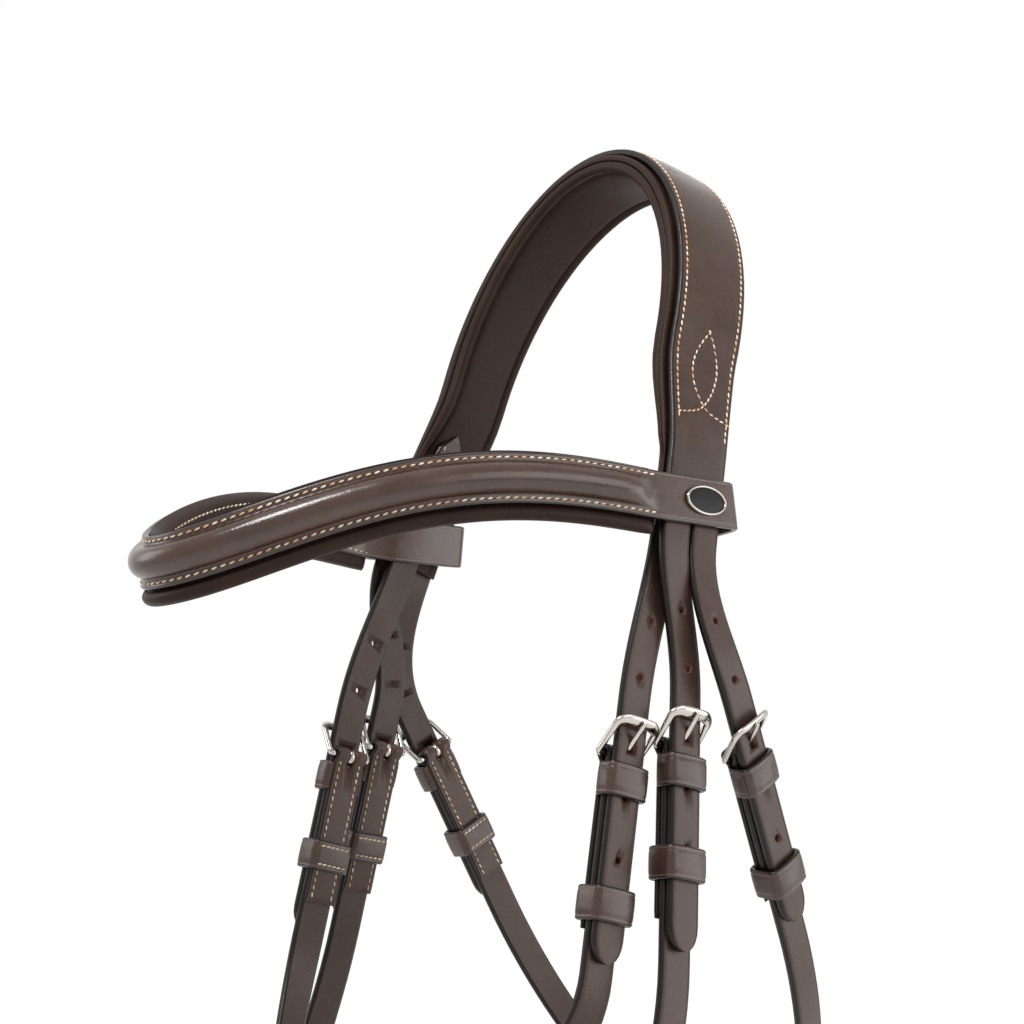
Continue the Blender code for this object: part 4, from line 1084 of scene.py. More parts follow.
@dataclass(frozen=True)
class Sleeve:
    """A leather keeper or runner, closed round the straps, with an ironed line by each rim."""

    length: float = 0.0110
    wall: float = 0.0017
    corner: float = 0.0012
    dome: float = 0.0005
    line_inset: float = 0.0015
    line_depth: float = 0.00016
    inner_mark: float = 2.5

    def outline(self, half: float, low: float, high: float) -> list[tuple[Vector, Vector]]:
        """Give the inside's points and outward directions, as across and rise."""
        made = []
        for across, rise, start in ((1, 1, 0), (-1, 1, 90), (-1, -1, 180), (1, -1, 270)):
            centre = Vector((across * (half - self.corner),
                             (high - self.corner) if rise > 0 else (low + self.corner)))
            for step in range(7):
                angle = math.radians(start + 90 * step / 6)
                way = Vector((math.cos(angle), math.sin(angle)))
                made.append((centre + way * self.corner, way))
            if start == 0:
                # The front bows out a little between its corners
                for share in (0.6, 0.25, -0.25, -0.6):
                    bow = self.dome * (1 - share * share)
                    made.append((Vector((share * half, high + bow)), Vector((share * 0.12, 1)).normalized()))
        return made

    def build(self, name: str, seat: Place, side: int, place: float, low: float, high: float,
              slack: float, back: float) -> bpy.types.Object:
        """Wrap the sleeve round the layers between two rises.

        Args:
            name: The node's name.
            seat: The strap's place, on the near side.
            side: -1 for the mirror image.
            place: Its middle, along the strap.
            low: Rise of the lowest layer.
            high: Rise of the highest layer.
            slack: Clearance all round.
            back: The wall's thickness behind the straps.

        Returns:
            The sleeve.
        """
        half, wall = self.length / 2, self.wall
        rim = [(-half + 0.0003, 0.0), (0.0, 0.0), (half - 0.0003, 0.0), (half, wall * 0.30), (half, wall * 0.62),
               (half - 0.0004, wall * 0.93), (half - 0.0010, wall), (half - self.line_inset, wall - self.line_depth),
               (half - self.line_inset - 0.0005, wall + 0.00004), (half * 0.35, wall + 0.0001)]
        rim += [(-run, rise) for run, rise in reversed(rim[3:])]
        rings = []
        for inner, way in self.outline(STRAP_WIDTH / 2 + slack, low - slack, high + slack):
            ring_points = []
            for run, rise in rim:
                spot = inner + way * rise * (1 + (back / wall - 1) * max(-way.y, 0.0))
                inset = (half - abs(run)) / MM
                mark = min(inset, PLAIN_LEATHER) if rise > 0 else self.inner_mark
                ring_points.append((seat.at(place + run, spot.y, spot.x), mark))
            rings.append(ring_points)
        return skin(name + "_leather", rings, Finish.KEEPER, side, closed=True)


SLEEVE = Sleeve()


@dataclass
class BuckleSet:
    """One buckle with its tongue, the fixed keeper below it and the sliding runner."""

    name: str
    seat: Place
    side: int
    runner_place: float
    billet: float
    keeper_place: float = 0.0085
    fill: float = -(GAP + LOWER + GAP + SKIVED)
    keeper_fill: float = -(GAP + LOWER)
    keeper_back: float = 0.0009
    seam_run: float = 0.0034
    seam_reach: float = 0.0056

    def build(self, stitches: dict[str, Stitching]) -> None:
        """Build the four pieces and sew the runner's back.

        Args:
            stitches: The bodies' stitches, by body.
        """
        fix(BUCKLE.build_frame(self.name, self.seat, self.side), "headstall", "buckle_metal",
            self.name + "_buckle_frame")
        fix(BUCKLE.build_tongue(self.name, self.seat, self.side), self.name + "_tongue", "buckle_metal",
            self.name + "_buckle_tongue")
        # The fixed keeper is sewn in between the strap and its tail, so the tail covers its back
        keeper = SLEEVE.build(self.name + "_keeper", self.seat, self.side, self.keeper_place, self.keeper_fill,
                              self.billet, GAP, self.keeper_back)
        fix_strap(keeper, self.name + "_keeper")
        body, slack = self.name + "_loop", LOOSE_GAP / 2
        runner = SLEEVE.build(self.name + "_runner", self.seat, self.side, self.runner_place, self.fill,
                              self.billet, slack, SLEEVE.wall)
        fix(runner, body, "strap_leather", self.name + "_runner")
        stitches[body] = Stitching(body)
        depth = self.fill - slack - SLEEVE.wall
        for run in (-self.seam_run, self.seam_run):
            row = [self.seat.at(self.runner_place + run, depth, across)
                   for across in (-self.seam_reach, 0.0, self.seam_reach)]
            stitches[body].trace(row, [-self.seat.out] * 3, self.side, RUNNER_PITCH, inside=True)


# Headpiece

@dataclass
class Headpiece:
    """The padded headpiece: outer leather that splits into billets, a rolled lining and the inner billets."""

    stitches: Stitching
    pad_thickness: float = 0.0070
    pad_end_thickness: float = 0.0026
    front_overhang: float = 0.0030
    rear_overhang: float = 0.0030
    flap_rise: float = 0.0110
    flare_rise: float = 0.0200
    end_share: float = 0.60
    leather_end: float = 0.0030
    billet_lead: float = 0.0180
    first_ring: float = 0.0040
    billet_tip: float = 0.0660
    billet_forward: float = 0.0050
    billet_seam_inset: float = 0.0022
    tip_length: float = 0.0080
    seam_inset: float = 0.0026
    seam_end: float = 0.029
    slant: float = 0.22
    crown: float = 0.0007
    crown_rise: float = 0.0300

    def tip_rings(self, seat: Place, outline: Outline, tip: float) -> list[Ring]:
        """Run a billet straight past its buckle to its rounded tip.

        Args:
            seat: The place that runs are counted from.
            outline: The billet's section.
            tip: The tip's run.

        Returns:
            The rings.
        """
        rings = []
        start, steps = self.first_ring - self.billet_lead, 10
        for i in range(steps + 1):
            run = start + (tip - self.tip_length - start) * i / steps
            rings.append(ring(seat.moved(run=run), outline))
        for turn in (18, 36, 52, 66, 77, 86):
            angle = math.radians(turn)
            spot = seat.moved(run=tip - self.tip_length * (1 - math.sin(angle)))
            rings.append(tip_ring(spot, outline, math.cos(angle) ** 0.9))
        return rings

    def billet(self, name: str, lead: list[Place], station: Station, side: int,
               tip_top: bool = False) -> bpy.types.Object:
        """Build one billet with its holes.

        Args:
            name: The piece's name.
            lead: The places before the bend to the buckle.
            station: The buckle's place.
            side: -1 for the mirror image.
            tip_top: Whether its upper end is pointed.

        Returns:
            The billet.
        """
        seat, thick = station.seat(ROUTE), station.billet
        outline = strap_outline(STRAP_WIDTH / 2, 0.0, thick)
        route = bend(lead[-1], seat.moved(run=-self.billet_lead), 18)
        rings = []
        if tip_top:
            for share in (0.05, 0.25, 0.45, 0.65, 0.85):
                rings.append(tip_ring(lead[0].moved(run=-self.tip_length * (1 - share)), outline, share))
        rings += [ring(place, outline) for place in lead + route]
        rings += self.tip_rings(seat, outline, self.billet_tip)
        strap = skin(name, rings, Finish.BRIDLE, side)
        cuts = [BUCKLE.tongue_slot(seat)]
        for count in (1, 2):
            place = self.back_along([lead[-1]] + route,
                                    HOLES.tongue_rise + HOLES.pitch * count - self.billet_lead)
            cuts.append(HOLES.hole(place, thick))
            cuts.append(HOLES.hole(seat.moved(run=HOLES.pitch * count - HOLES.tongue_rise), thick))
        return punch(strap, cuts, side)

    def back_along(self, places: list[Place], distance: float) -> Place:
        """Give the place that lies a distance before the end of a row of places."""
        left = distance
        for after, before in zip(reversed(places), reversed(places[:-1])):
            length = (after.point - before.point).length
            if left <= length:
                return Place(after.point.lerp(before.point, left / length), after.along, after.out)
            left -= length
        return places[0]

    def build_leather(self) -> None:
        """Build the outer leather and its four billets as one piece."""
        rings = []
        for place in ROUTE.places(self.leather_end):
            half = ROUTE.width(ROUTE.height(place)) / 2
            raised = self.crown * smooth(ROUTE.height(place), 0.0, self.crown_rise)
            outline = strap_outline(half, 0.0, BILLET, crown=raised)
            rings.append(ring(place, outline))
        parts = [skin("crown_strap_leather", rings, Finish.BRIDLE)]
        offset = (STRAP_WIDTH + ROUTE.split_width) / 2
        for station, across in ((CHEEK, -offset), (THROAT, offset)):
            lead = [ROUTE.leg(height).moved(across=across)
                    for height in (self.leather_end - GAP, -ROUTE.split_drop / 3, -ROUTE.split_drop)]
            parts += [self.billet(f"{station.name}_billet_{name}", lead, station, side) for name, side in SIDES]
        fix_strap(joined(parts), "crown_strap")

    def build_inner_billets(self) -> None:
        """Build the noseband's billets, sewn to the lining with pointed upper ends."""
        heights = (0.0370, 0.0300, 0.0240, 0.0200, 0.0155, 0.0110, 0.0050, 0.0)
        sewn = []
        for height in heights:
            leg = ROUTE.leg(height)
            sewn.append(leg.moved(rise=-(GAP + self.shape(height)[2] + GAP + LOWER), across=-self.billet_forward))
        start = ROUTE.leg(-ROUTE.split_drop).moved(
            rise=-(GAP + self.pad_end_thickness + GAP + LOWER), across=-self.billet_forward)
        for name, side in SIDES:
            strap = self.billet("noseband_billet_" + name + "_leather", sewn + [start], NOSE, side, tip_top=True)
            fix_strap(strap, "noseband_billet_" + name)
            half = STRAP_WIDTH / 2 - self.billet_seam_inset
            for across in (-half, half):
                self.stitches.sew(sewn[:6], across, 0.0, side, EDGE_PITCH, inside=True)

    def shape(self, height: float) -> tuple[float, float, float]:
        """Give the padding's front reach, rear reach and thickness at a height."""
        share = min(max(height / ROUTE.rise, 0.0), 1.0)
        flare = smooth(height, self.flap_rise, self.flare_rise)
        half = ROUTE.width(height) / 2 - GAP
        overhang = flare * (self.end_share + (1 - self.end_share) * share)
        full = smooth(height, self.flap_rise, ROUTE.leg_rise)
        thick = self.pad_end_thickness + (self.pad_thickness - self.pad_end_thickness) * full
        return half + self.front_overhang * overhang, half + self.rear_overhang * overhang, thick

    def lining_outline(self, height: float) -> Outline:
        """Draw the lining: a double roll in front, one behind, a sewn groove by each and a soft middle."""
        front, rear, thick = self.shape(height)
        flare = smooth(height, self.flap_rise, self.flare_rise)
        leather = ROUTE.width(height) / 2
        groove = min(0.0013, thick * 0.3) * (0.35 + 0.65 * flare)
        over = max(front - leather, 0.0)
        size = min(thick / self.pad_thickness, 1.0)
        small = 0.0014 * size * flare + 0.0002
        large = 0.0021 * size
        # A small roll lies against the outer leather's edge and a larger one lies below it, deeper in
        points = [(-leather + 0.0030, -GAP), (-leather + 0.0012, -GAP - 0.0003)]
        centre = (-leather - 0.28 * over, -GAP - small * 0.95)
        points += arc(centre, small, small, (100, 140, 180, 215))
        points += [(-leather - 0.20 * over + 0.0006 * size, -GAP - thick * 0.43)]
        centre = (-front + large, -GAP - thick * 0.66)
        points += arc(centre, large, large * 1.05, (130, 165, 200, 235, 265))
        points += [(-front + large * 1.7, -GAP - thick * 0.90), (-front + large * 2.1, -GAP - thick + groove),
                   (-front + large * 2.6, -GAP - thick * 0.93), (-front + 0.0085, -GAP - thick * 1.03)]
        points += [(-0.002, -GAP - thick * 1.10)]
        points += [(rear - 0.0085, -GAP - thick * 1.02), (rear - 0.0061, -GAP - thick * 0.93),
                   (rear - 0.0052, -GAP - thick + groove), (rear - 0.0044, -GAP - thick * 0.90),
                   (rear - 0.0026, -GAP - thick * 0.98), (rear - 0.0006, -GAP - thick * 0.80),
                   (rear, -GAP - thick * 0.42), (rear - 0.0005, -GAP - thick * 0.08),
                   (rear - 0.0016, -GAP), (0.0, -GAP)]
        # The grooves are painted dark with the edge colour, as painted shade
        steps, grooves = 3, (1, 6, 13, 19)
        dark = {spot * steps for spot in grooves}
        return [(across, min(rise, -GAP), 0.3 if i in dark else PLAIN_LEATHER)
                for i, (across, rise) in enumerate(rounded(points, steps))]

    def build_lining(self) -> None:
        """Build the padded lining."""
        rings = [ring(place, self.lining_outline(ROUTE.height(place))) for place in ROUTE.places(-self.flap_rise)]
        lining = skin("crown_lining_leather", rings, Finish.LINING)
        fix(lining, "headstall", "lining_leather", "crown_lining", "crown_pad_core")

    def sew(self) -> None:
        """Sew both long edges and the pointed oval above each loop."""
        places = ROUTE.places(self.seam_end)
        for sign in (-1, 1):
            points = [place.at(0, BILLET + 0.0002, sign * (ROUTE.width(ROUTE.height(place)) / 2 - self.seam_inset))
                      for place in places]
            self.stitches.trace(points, [place.out for place in places], pitch=EDGE_PITCH)
        edge = ROUTE.width(self.seam_end) / 2 - self.seam_inset
        half_fish = ((0.0326, -edge), (0.0338, -edge * 0.62), (0.0352, -edge * 0.26), (0.0375, 0.0),
                     (0.0415, 0.0028), (0.0460, 0.0047), (0.0515, 0.0056), (0.0570, 0.0050), (0.0630, 0.0029),
                     (0.0682, 0.0))
        spots = rounded(list(half_fish), 3, closed=False)
        for sign in (-1, 1):
            slanted = [(height + self.slant * sign * across, sign * across) for height, across in spots]
            legs = [(ROUTE.leg(height), across) for height, across in slanted]
            for _, side in SIDES:
                self.stitches.trace([leg.at(0, BILLET + self.crown * 0.9, across) for leg, across in legs],
                                    [leg.out for leg, _ in legs], side, SHAPE_PITCH)

    def build(self) -> None:
        """Build and sew the headpiece."""
        self.build_leather()
        self.build_lining()
        self.build_inner_billets()
        self.sew()


# Raised bands

@dataclass(frozen=True)
class BandRoute:
    """A band's route round the front of the head, by its turn from -90 to 90 degrees."""

    centre: Vector
    half_span: float
    depth: float
    dip: float
    swell: float
    lean: float
    blunt: float = 0.15
    front_power: float = 1.40
    dip_power: float = 3.26

    def point(self, turn: float) -> Vector:
        """Give the back of the face leather at a turn."""
        side, front = math.sin(turn), max(math.cos(turn), 0.0)
        across = self.half_span * (side * (1 - self.blunt) + side**3 * self.blunt)
        rise = self.swell * math.sin(2 * turn) ** 2 * abs(side) - self.dip * front ** self.dip_power
        return self.centre + Vector((across, -self.depth * front ** self.front_power, rise))

    def place(self, turn: float) -> Place:
        """Give the place at a turn, running from the far end to the near end."""
        if math.isclose(abs(turn), math.pi / 2):
            along = BACK * math.copysign(1, turn)
        else:
            step = math.radians(0.5)
            along = (self.point(turn + step) - self.point(turn - step)).normalized()
        upright = Vector((-self.lean * math.sin(turn) ** 3, 0, 1))
        return Place(self.point(turn), along, along.cross(upright).normalized())

    def turn_at(self, back: float) -> float:
        """Give the near side's turn at a distance in front of the band's ends."""
        return math.acos((back / self.depth) ** (1 / self.front_power))


@dataclass
class RaisedBand:
    """A raised band: face leather pulled over a cord, with a soft lining rolled out below it."""

    name: str
    body: str
    route: BandRoute
    stitches: Stitching
    full_roll: float
    no_roll: float
    lining_end: float
    seam_end: float
    half_height: float = 0.0085
    thick: float = 0.0022
    roll_half: float = 0.0052
    roll_rise: float = 0.0042
    seam: float = 0.0066
    lining: float = 0.0040
    lining_roll: float = 0.0046
    taper_turn: float = 0.045
    plain_turn: float = 0.06
    steps: int = 108

    def turns(self, limit: float, steps: int) -> list[float]:
        """Spread turns evenly from the far limit to the near one."""
        return [limit * (2 * i / steps - 1) for i in range(steps + 1)]

    def roll(self, turn: float) -> float:
        """Give 1 where the face is fully raised and 0 where it is flat."""
        return 1 - smooth(abs(turn), self.full_roll, self.no_roll)

    def face_outline(self, roll: float) -> Outline:
        """Draw the face: a domed roll between two flat flanges whose cut edges are burnished."""
        half, thick = self.half_height, self.thick
        right = [(half, thick * 0.45, 0.0), (half - 0.0001, thick * 0.75, 0.1), (half - 0.0005, thick * 0.97, 0.35),
                 (half - 0.0010, thick, 0.8), (half - 0.00125, thick - 0.00012, 1.1), (half - 0.0016, thick, 1.6)]
        pressed = 0.00030 * roll
        right += [(across, thick - share * pressed, PLAIN_LEATHER)
                  for across, share in ((self.seam + 0.0003, 0.5), (self.seam, 1.0), (self.seam - 0.0005, 0.6),
                                        (self.roll_half + 0.0004, 1.0))]
        for share in (1.0, 0.97, 0.90, 0.78, 0.62, 0.42, 0.20):
            dome = (1 - share**2.3) ** 0.72
            right.append((self.roll_half * share, thick + self.roll_rise * roll * dome, PLAIN_LEATHER))
        left = [(-across, rise, edge) for across, rise, edge in reversed(right)]
        crown = [(0.0, thick + self.roll_rise * roll, PLAIN_LEATHER)]
        below = [(-half + 0.0004, 0.0, 0.4), (-half * 0.5, 0.0, PLAIN_LEATHER), (half * 0.5, 0.0, PLAIN_LEATHER),
                 (half - 0.0004, 0.0, 0.4)]
        return right + crown + left + below

    def lining_outline(self) -> Outline:
        """Draw the lining with its soft bevel above and its rolled edge below."""
        half, thick = self.half_height, self.lining
        low = half + GAP
        points = [(half - 0.0002, -GAP), (half + 0.0004, -GAP - 0.30 * thick), (0.78 * half, -GAP - 0.82 * thick),
                  (0.45 * half, -GAP - 1.02 * thick), (-0.20 * half, -GAP - 1.10 * thick),
                  (-0.72 * half, -GAP - thick),
                  (-low - 0.30 * self.lining_roll, -0.98 * thick), (-low - 0.80 * self.lining_roll, -0.78 * thick),
                  (-low - 1.02 * self.lining_roll, -0.30 * thick), (-low - 0.90 * self.lining_roll, 0.16 * thick),
                  (-low - 0.55 * self.lining_roll, 0.40 * thick), (-low - 0.12 * self.lining_roll, 0.22 * thick),
                  (-low + 0.0001, -GAP), (-0.4 * half, -GAP)]
        return [(across, min(rise, -GAP) if across > -low - 0.0001 else rise, PLAIN_LEATHER)
                for across, rise in rounded(points, 3)]

    def build_face(self, loop: list[Ring] | None = None) -> None:
        """Build the face leather, with the near loop's rings and their mirror image if it has loops."""
        rings = [ring(self.route.place(turn), self.face_outline(self.roll(turn)))
                 for turn in self.turns(math.pi / 2, self.steps)]
        if loop:
            far = [[(Vector((-point.x, point.y, point.z)), edge) for point, edge in row] for row in reversed(loop)]
            rings = far + rings + loop
        face = skin(self.name + "_face_leather", rings, Finish.ROLL)
        fix(face, self.body, "strap_leather", self.name + "_face", self.name + "_core")

    def build_lining(self) -> None:
        """Build the padded lining, whose ends taper under the face."""
        rings = []
        ends = [self.lining_end - step for step in (0.0, 0.004, 0.012, 0.025, self.taper_turn)]
        turns = sorted({round(sign * end, 6) for end in ends for sign in (-1, 1)}
                       | set(self.turns(self.lining_end - self.plain_turn, 92)))
        for turn in turns:
            left = self.lining_end - abs(turn)
            puff = 0.35 + 0.65 * math.sqrt(min(max(left, 0.0) / self.taper_turn, 1.0))
            place = self.route.place(turn)
            rings.append([(place.at(0, -GAP + (rise + GAP) * puff, across), edge)
                          for across, rise, edge in self.lining_outline()])
        lining = skin(self.name + "_lining_leather", rings, Finish.LINING)
        fix(lining, self.body, "lining_leather", self.name + "_lining")

    def sew(self) -> None:
        """Sew the face's two rows and the inner thread's row along the lining."""
        places = [self.route.place(turn) for turn in self.turns(self.seam_end, 120)]
        for across in (-self.seam, self.seam):
            self.stitches.sew(places, across, self.thick - 0.00005)
        inner = [self.route.place(turn) for turn in self.turns(self.lining_end - self.plain_turn, 110)]
        self.stitches.sew(inner, self.half_height * 0.62, -GAP - self.lining * 0.97, inside=True)


LOOP_CENTRE = ROUTE.leg(0).point * Vector((0, 1, 1))
LEG_HALF_WIDTH = (STRAP_WIDTH + ROUTE.split_width / 2) / math.cos(ROUTE.tilt)
LOOP_REACH = LEG_HALF_WIDTH + RaisedBand.half_height * math.tan(ROUTE.tilt) + LOOSE_GAP
BROW_ROUTE = BandRoute(LOOP_CENTRE - BACK * LOOP_REACH, half_span=ROUTE.leg_half_span + BILLET + LOOSE_GAP,
                       depth=0.1640 - LOOP_REACH, dip=0.0270, swell=0.0070,
                       lean=(ROUTE.leg_half_span - ROUTE.cap_half_span) / ROUTE.leg_rise)
NOSE_ROUTE = BandRoute(LOOP_CENTRE - BACK * 0.0450 - UP * 0.2350, half_span=0.0560, depth=0.1300, dip=0.0,
                       swell=0.0, lean=0.0)
BADGE_BACK = 0.0015


@dataclass
class Browband(RaisedBand):
    """The browband, whose face leather runs on round the headpiece as a loop at each end."""

    flap: float = 0.0280
    corner: float = 0.0025

    def loop(self) -> list[Ring]:
        """Give the near loop's rings: back along the leg, round it and forward inside."""
        end = self.route.place(math.pi / 2)
        depth = 2 * LOOSE_GAP + BILLET + GAP + Headpiece.pad_end_thickness + GAP + LOWER
        reach, radius, flat = 2 * LOOP_REACH, self.corner, self.face_outline(0.0)
        rings = [ring(end.moved(run=(reach - radius) * share), flat) for share in (0.2, 0.5, 0.8)]
        for rise, start in ((-radius, 90), (radius - depth, 0)):
            for step in range(7):
                turn = math.radians(start - 15 * step)
                spot = (reach - radius + radius * math.cos(turn), rise + radius * math.sin(turn))
                rings.append(ring(end.turned(*spot, (math.sin(turn), -math.cos(turn))), flat))
        rings.append(ring(end.turned(0, -depth, (-1, 0)), flat))
        # The cut end is pared thin where it is sewn behind the band
        inside = GAP + self.lining + GAP
        for share, pared in ((0.35, 1.0), (0.60, 1.0), (0.80, 0.95), (0.94, 0.8), (1.00, 0.55)):
            band = self.route.place(self.route.turn_at(self.flap * share))
            rings.append(ring(band.turned(0, -inside, (-1, 0)), flat, pared))
        return rings

    def build(self) -> None:
        """Build and sew the browband."""
        self.build_face(self.loop())
        self.build_lining()
        self.sew()
        inside = GAP + self.lining + GAP + self.thick
        bands = [self.route.place(self.route.turn_at(self.flap * share)) for share in (0.93, 0.7, 0.45, 0.2)]
        for _, side in SIDES:
            for across in (-self.seam, self.seam):
                self.stitches.sew(bands, across, -inside, side, inside=True)


@dataclass
class Badge:
    """A plain oval badge: a polished rim round a dark grained inlay."""

    seat: Place
    length: float = 0.0200
    height: float = 0.0105
    rim: float = 0.0009
    steps: int = 72

    def oval(self, inset: float, rise: float) -> Ring:
        """Give an oval ring, inset from the rim and raised."""
        long, tall = self.length / 2 - inset, self.height / 2 - inset
        return [(point, PLAIN_LEATHER) for point in self.seat.oval(long, tall, rise, self.steps)]

    def build(self) -> None:
        """Build the rim and the inlay."""
        section = ((0.0, 0.0), (0.0, 0.0007), (0.00012, 0.00098), (0.00035, 0.00116), (0.00060, 0.00112),
                   (0.00082, 0.00092), (self.rim, 0.0006), (self.rim, 0.0))
        rim = skin("badge_rim_steel", [self.oval(*pair) for pair in section], Finish.STEEL, closed=True)
        fix(rim, "browband", "buckle_metal", "badge_rim")
        inner = self.rim + 0.00008
        dome = ((0.0, 0.0), (0.0, 0.00055), (0.0004, 0.00066), (0.0012, 0.00078), (0.0025, 0.00088),
                (0.0040, 0.00093))
        face = skin("badge_inlay", [self.oval(inner + inset, rise) for inset, rise in dome], Finish.INLAY)
        fix(face, "browband", "badge_enamel", "badge_face")


# Lower straps

@dataclass
class LowerStrap:
    """What the lower straps share: a fold round the buckle's bar and a tail sewn down inside."""

    stitches: Stitching
    tail: float = 0.0560
    meet: float = 0.0030
    straight: float = 0.0700
    seam_inset: float = 0.0023

    def fold(self, seat: Place, tail: float, straight: float) -> list[tuple[Place, float]]:
        """Give places and thicknesses from the tail's end, up, round the bar and down outside.

        Args:
            seat: The billet's inner face over the bar.
            tail: The tail's length.
            straight: How far the strap then runs straight.

        Returns:
            Places with thicknesses.
        """
        bar, radius = BUCKLE.bar, BUCKLE.bar_radius + GAP + SKIVED / 2
        main, back = -(GAP + LOWER / 2), -(GAP + LOWER + GAP + SKIVED / 2)
        rows = [((tail - gone, back), (-1, 0), SKIVED * pared)
                for gone, pared in ((0.0, 0.35), (0.0008, 0.7), (0.0025, 1.0))]
        rows += [((run, back), (-1, 0), SKIVED) for run in (tail * 0.6, tail * 0.3, self.meet)]
        for i in range(15):
            turn = math.pi * i / 14
            rows.append(((bar.x - radius * math.sin(turn), bar.y - radius * math.cos(turn)),
                         (-math.cos(turn), math.sin(turn)), SKIVED))
        rows += [((run, main), (1, 0), LOWER) for run in (self.meet, straight * 0.35, straight * 0.7, straight)]
        return [(seat.turned(*spot, step), thick) for spot, step, thick in rows]

    def cut(self, name: str, rows: list[tuple[Place, float]], cuts: list, side: int) -> bpy.types.Object:
        """Skin a strap along places with thicknesses and punch it."""
        rings = [ring(place, strap_outline(STRAP_WIDTH / 2, -thick / 2, thick / 2)) for place, thick in rows]
        strap = skin(name + "_leather", rings, Finish.BRIDLE, side)
        return punch(strap, cuts, side) if cuts else strap

    def sew_tail(self, seat: Place, tail: float, side: int) -> None:
        """Sew the tail's two rows, which show on the inner side."""
        half = STRAP_WIDTH / 2 - self.seam_inset
        depth = -(GAP + LOWER + GAP + SKIVED) - 0.00002
        places = [seat.moved(run=run) for run in (self.meet, tail / 2, tail - 0.0025)]
        for across in (-half, half):
            self.stitches.sew(places, across, depth, side, TAIL_PITCH, inside=True)


@dataclass
class Cheekpieces(LowerStrap):
    """Both cheekpieces, each returned round the bit's eye, with two keepers and a stud."""

    drop: float = 0.3350
    half_span: float = 0.0680
    forward: float = 0.0800
    eye_radius: float = 0.0060
    returned: float = 0.0560
    stud_place: float = 0.0480
    hole_radius: float = 0.0019
    lean_in: float = 0.16
    lean_forward: float = 0.20
    keeper_places: tuple[float, float] = (-0.0300, -0.0120)

    def build(self) -> None:
        """Build both sides."""
        along = Vector((-self.lean_in, -self.lean_forward, -1)).normalized()
        eye = Place(LOOP_CENTRE + OUT * self.half_span - BACK * self.forward - UP * self.drop, along,
                    square_out(along, OUT))
        seat = CHEEK.seat(ROUTE)
        rows = self.fold(seat, self.tail, self.straight)
        above = eye.moved(run=-self.returned - 0.0080)
        rows += [(place, LOWER) for place in bend(rows[-1][0], above, 22)]
        rows += [(eye.moved(run=run), LOWER) for run in (-0.045, -0.030, -0.015)]
        radius, step = self.eye_radius + LOWER / 2, LOWER + GAP
        turns = [((2 * self.eye_radius + radius * math.sin(a), -radius + radius * math.cos(a)),
                  (math.cos(a), -math.sin(a)), LOWER) for a in (math.pi * i / 16 for i in range(17))]
        turns += [((run, -step), (-1, 0), LOWER) for run in (0.0, -self.returned * 0.5, -self.returned + 0.006)]
        turns += [((-self.returned + gone, -step), (-1, 0), LOWER * pared)
                  for gone, pared in ((0.0025, 0.95), (0.0008, 0.75), (0.0, 0.4))]
        rows += [(eye.turned(*spot, step), thick) for spot, step, thick in turns]
        low, high = -step - LOWER / 2, LOWER / 2
        stud = eye.moved(run=-self.stud_place)
        hole = [stud.oval(self.hole_radius, self.hole_radius, rise, 20) for rise in (low - LOWER, high + LOWER)]
        for name, side in SIDES:
            strap = self.cut("cheekpiece_" + name, rows, [BUCKLE.fold_slot(seat), hole], side)
            fix_strap(strap, "cheekpiece_" + name)
            self.sew_tail(seat, self.tail, side)
            for part, place in zip(("upper", "lower"), self.keeper_places):
                node = f"bit_keeper_{part}_{name}"
                fix_strap(SLEEVE.build(node, eye, side, place, low, high, GAP, SLEEVE.wall), node)
            self.build_stud(name, stud, low, high, side)

    def build_stud(self, name: str, stud: Place, low: float, high: float, side: int) -> None:
        """Turn a stud with a domed outer head."""
        profile = ((0.0008, low - 0.00125), (0.0026, low - 0.0012), (0.0032, low - 0.0009), (0.0032, low - 0.0004),
                   (0.0016, low - 0.0003), (0.0016, high + 0.0003), (0.0032, high + 0.0003), (0.0032, high + 0.0005),
                   (0.0027, high + 0.00085), (0.0017, high + 0.0011), (0.0006, high + 0.0012))
        rings = [[(point, PLAIN_LEATHER) for point in stud.oval(radius, radius, rise, 24)]
                 for radius, rise in profile]
        turned = skin(f"bit_stud_{name}_steel", rings, Finish.STEEL, side)
        fix(turned, "headstall", "buckle_metal", "bit_stud_" + name)


@dataclass
class Throatlatch(LowerStrap):
    """One strap under the throat with a buckle at each end."""

    lowest_back: float = 0.1000
    lowest_drop: float = 0.2400
    lowest_lean: float = 0.40

    def build(self) -> None:
        """Build the whole strap."""
        seat = THROAT.seat(ROUTE)
        rows = self.fold(seat, self.tail, self.straight)
        lowest = Place(LOOP_CENTRE + BACK * self.lowest_back - UP * self.lowest_drop, -OUT,
                       Vector((0, self.lowest_lean, -1)).normalized())
        rows += [(place, LOWER) for place in bend(rows[-1][0], lowest, 26)]
        rows += [(place.mirrored(reverse=True), thick) for place, thick in reversed(rows[:-1])]
        slot = BUCKLE.fold_slot(seat)
        strap = self.cut("throatlatch", rows, [slot] + [[flip_points(points, -1) for points in slot]], 1)
        fix_strap(strap, "throatlatch")
        for _, side in SIDES:
            self.sew_tail(seat, self.tail, side)


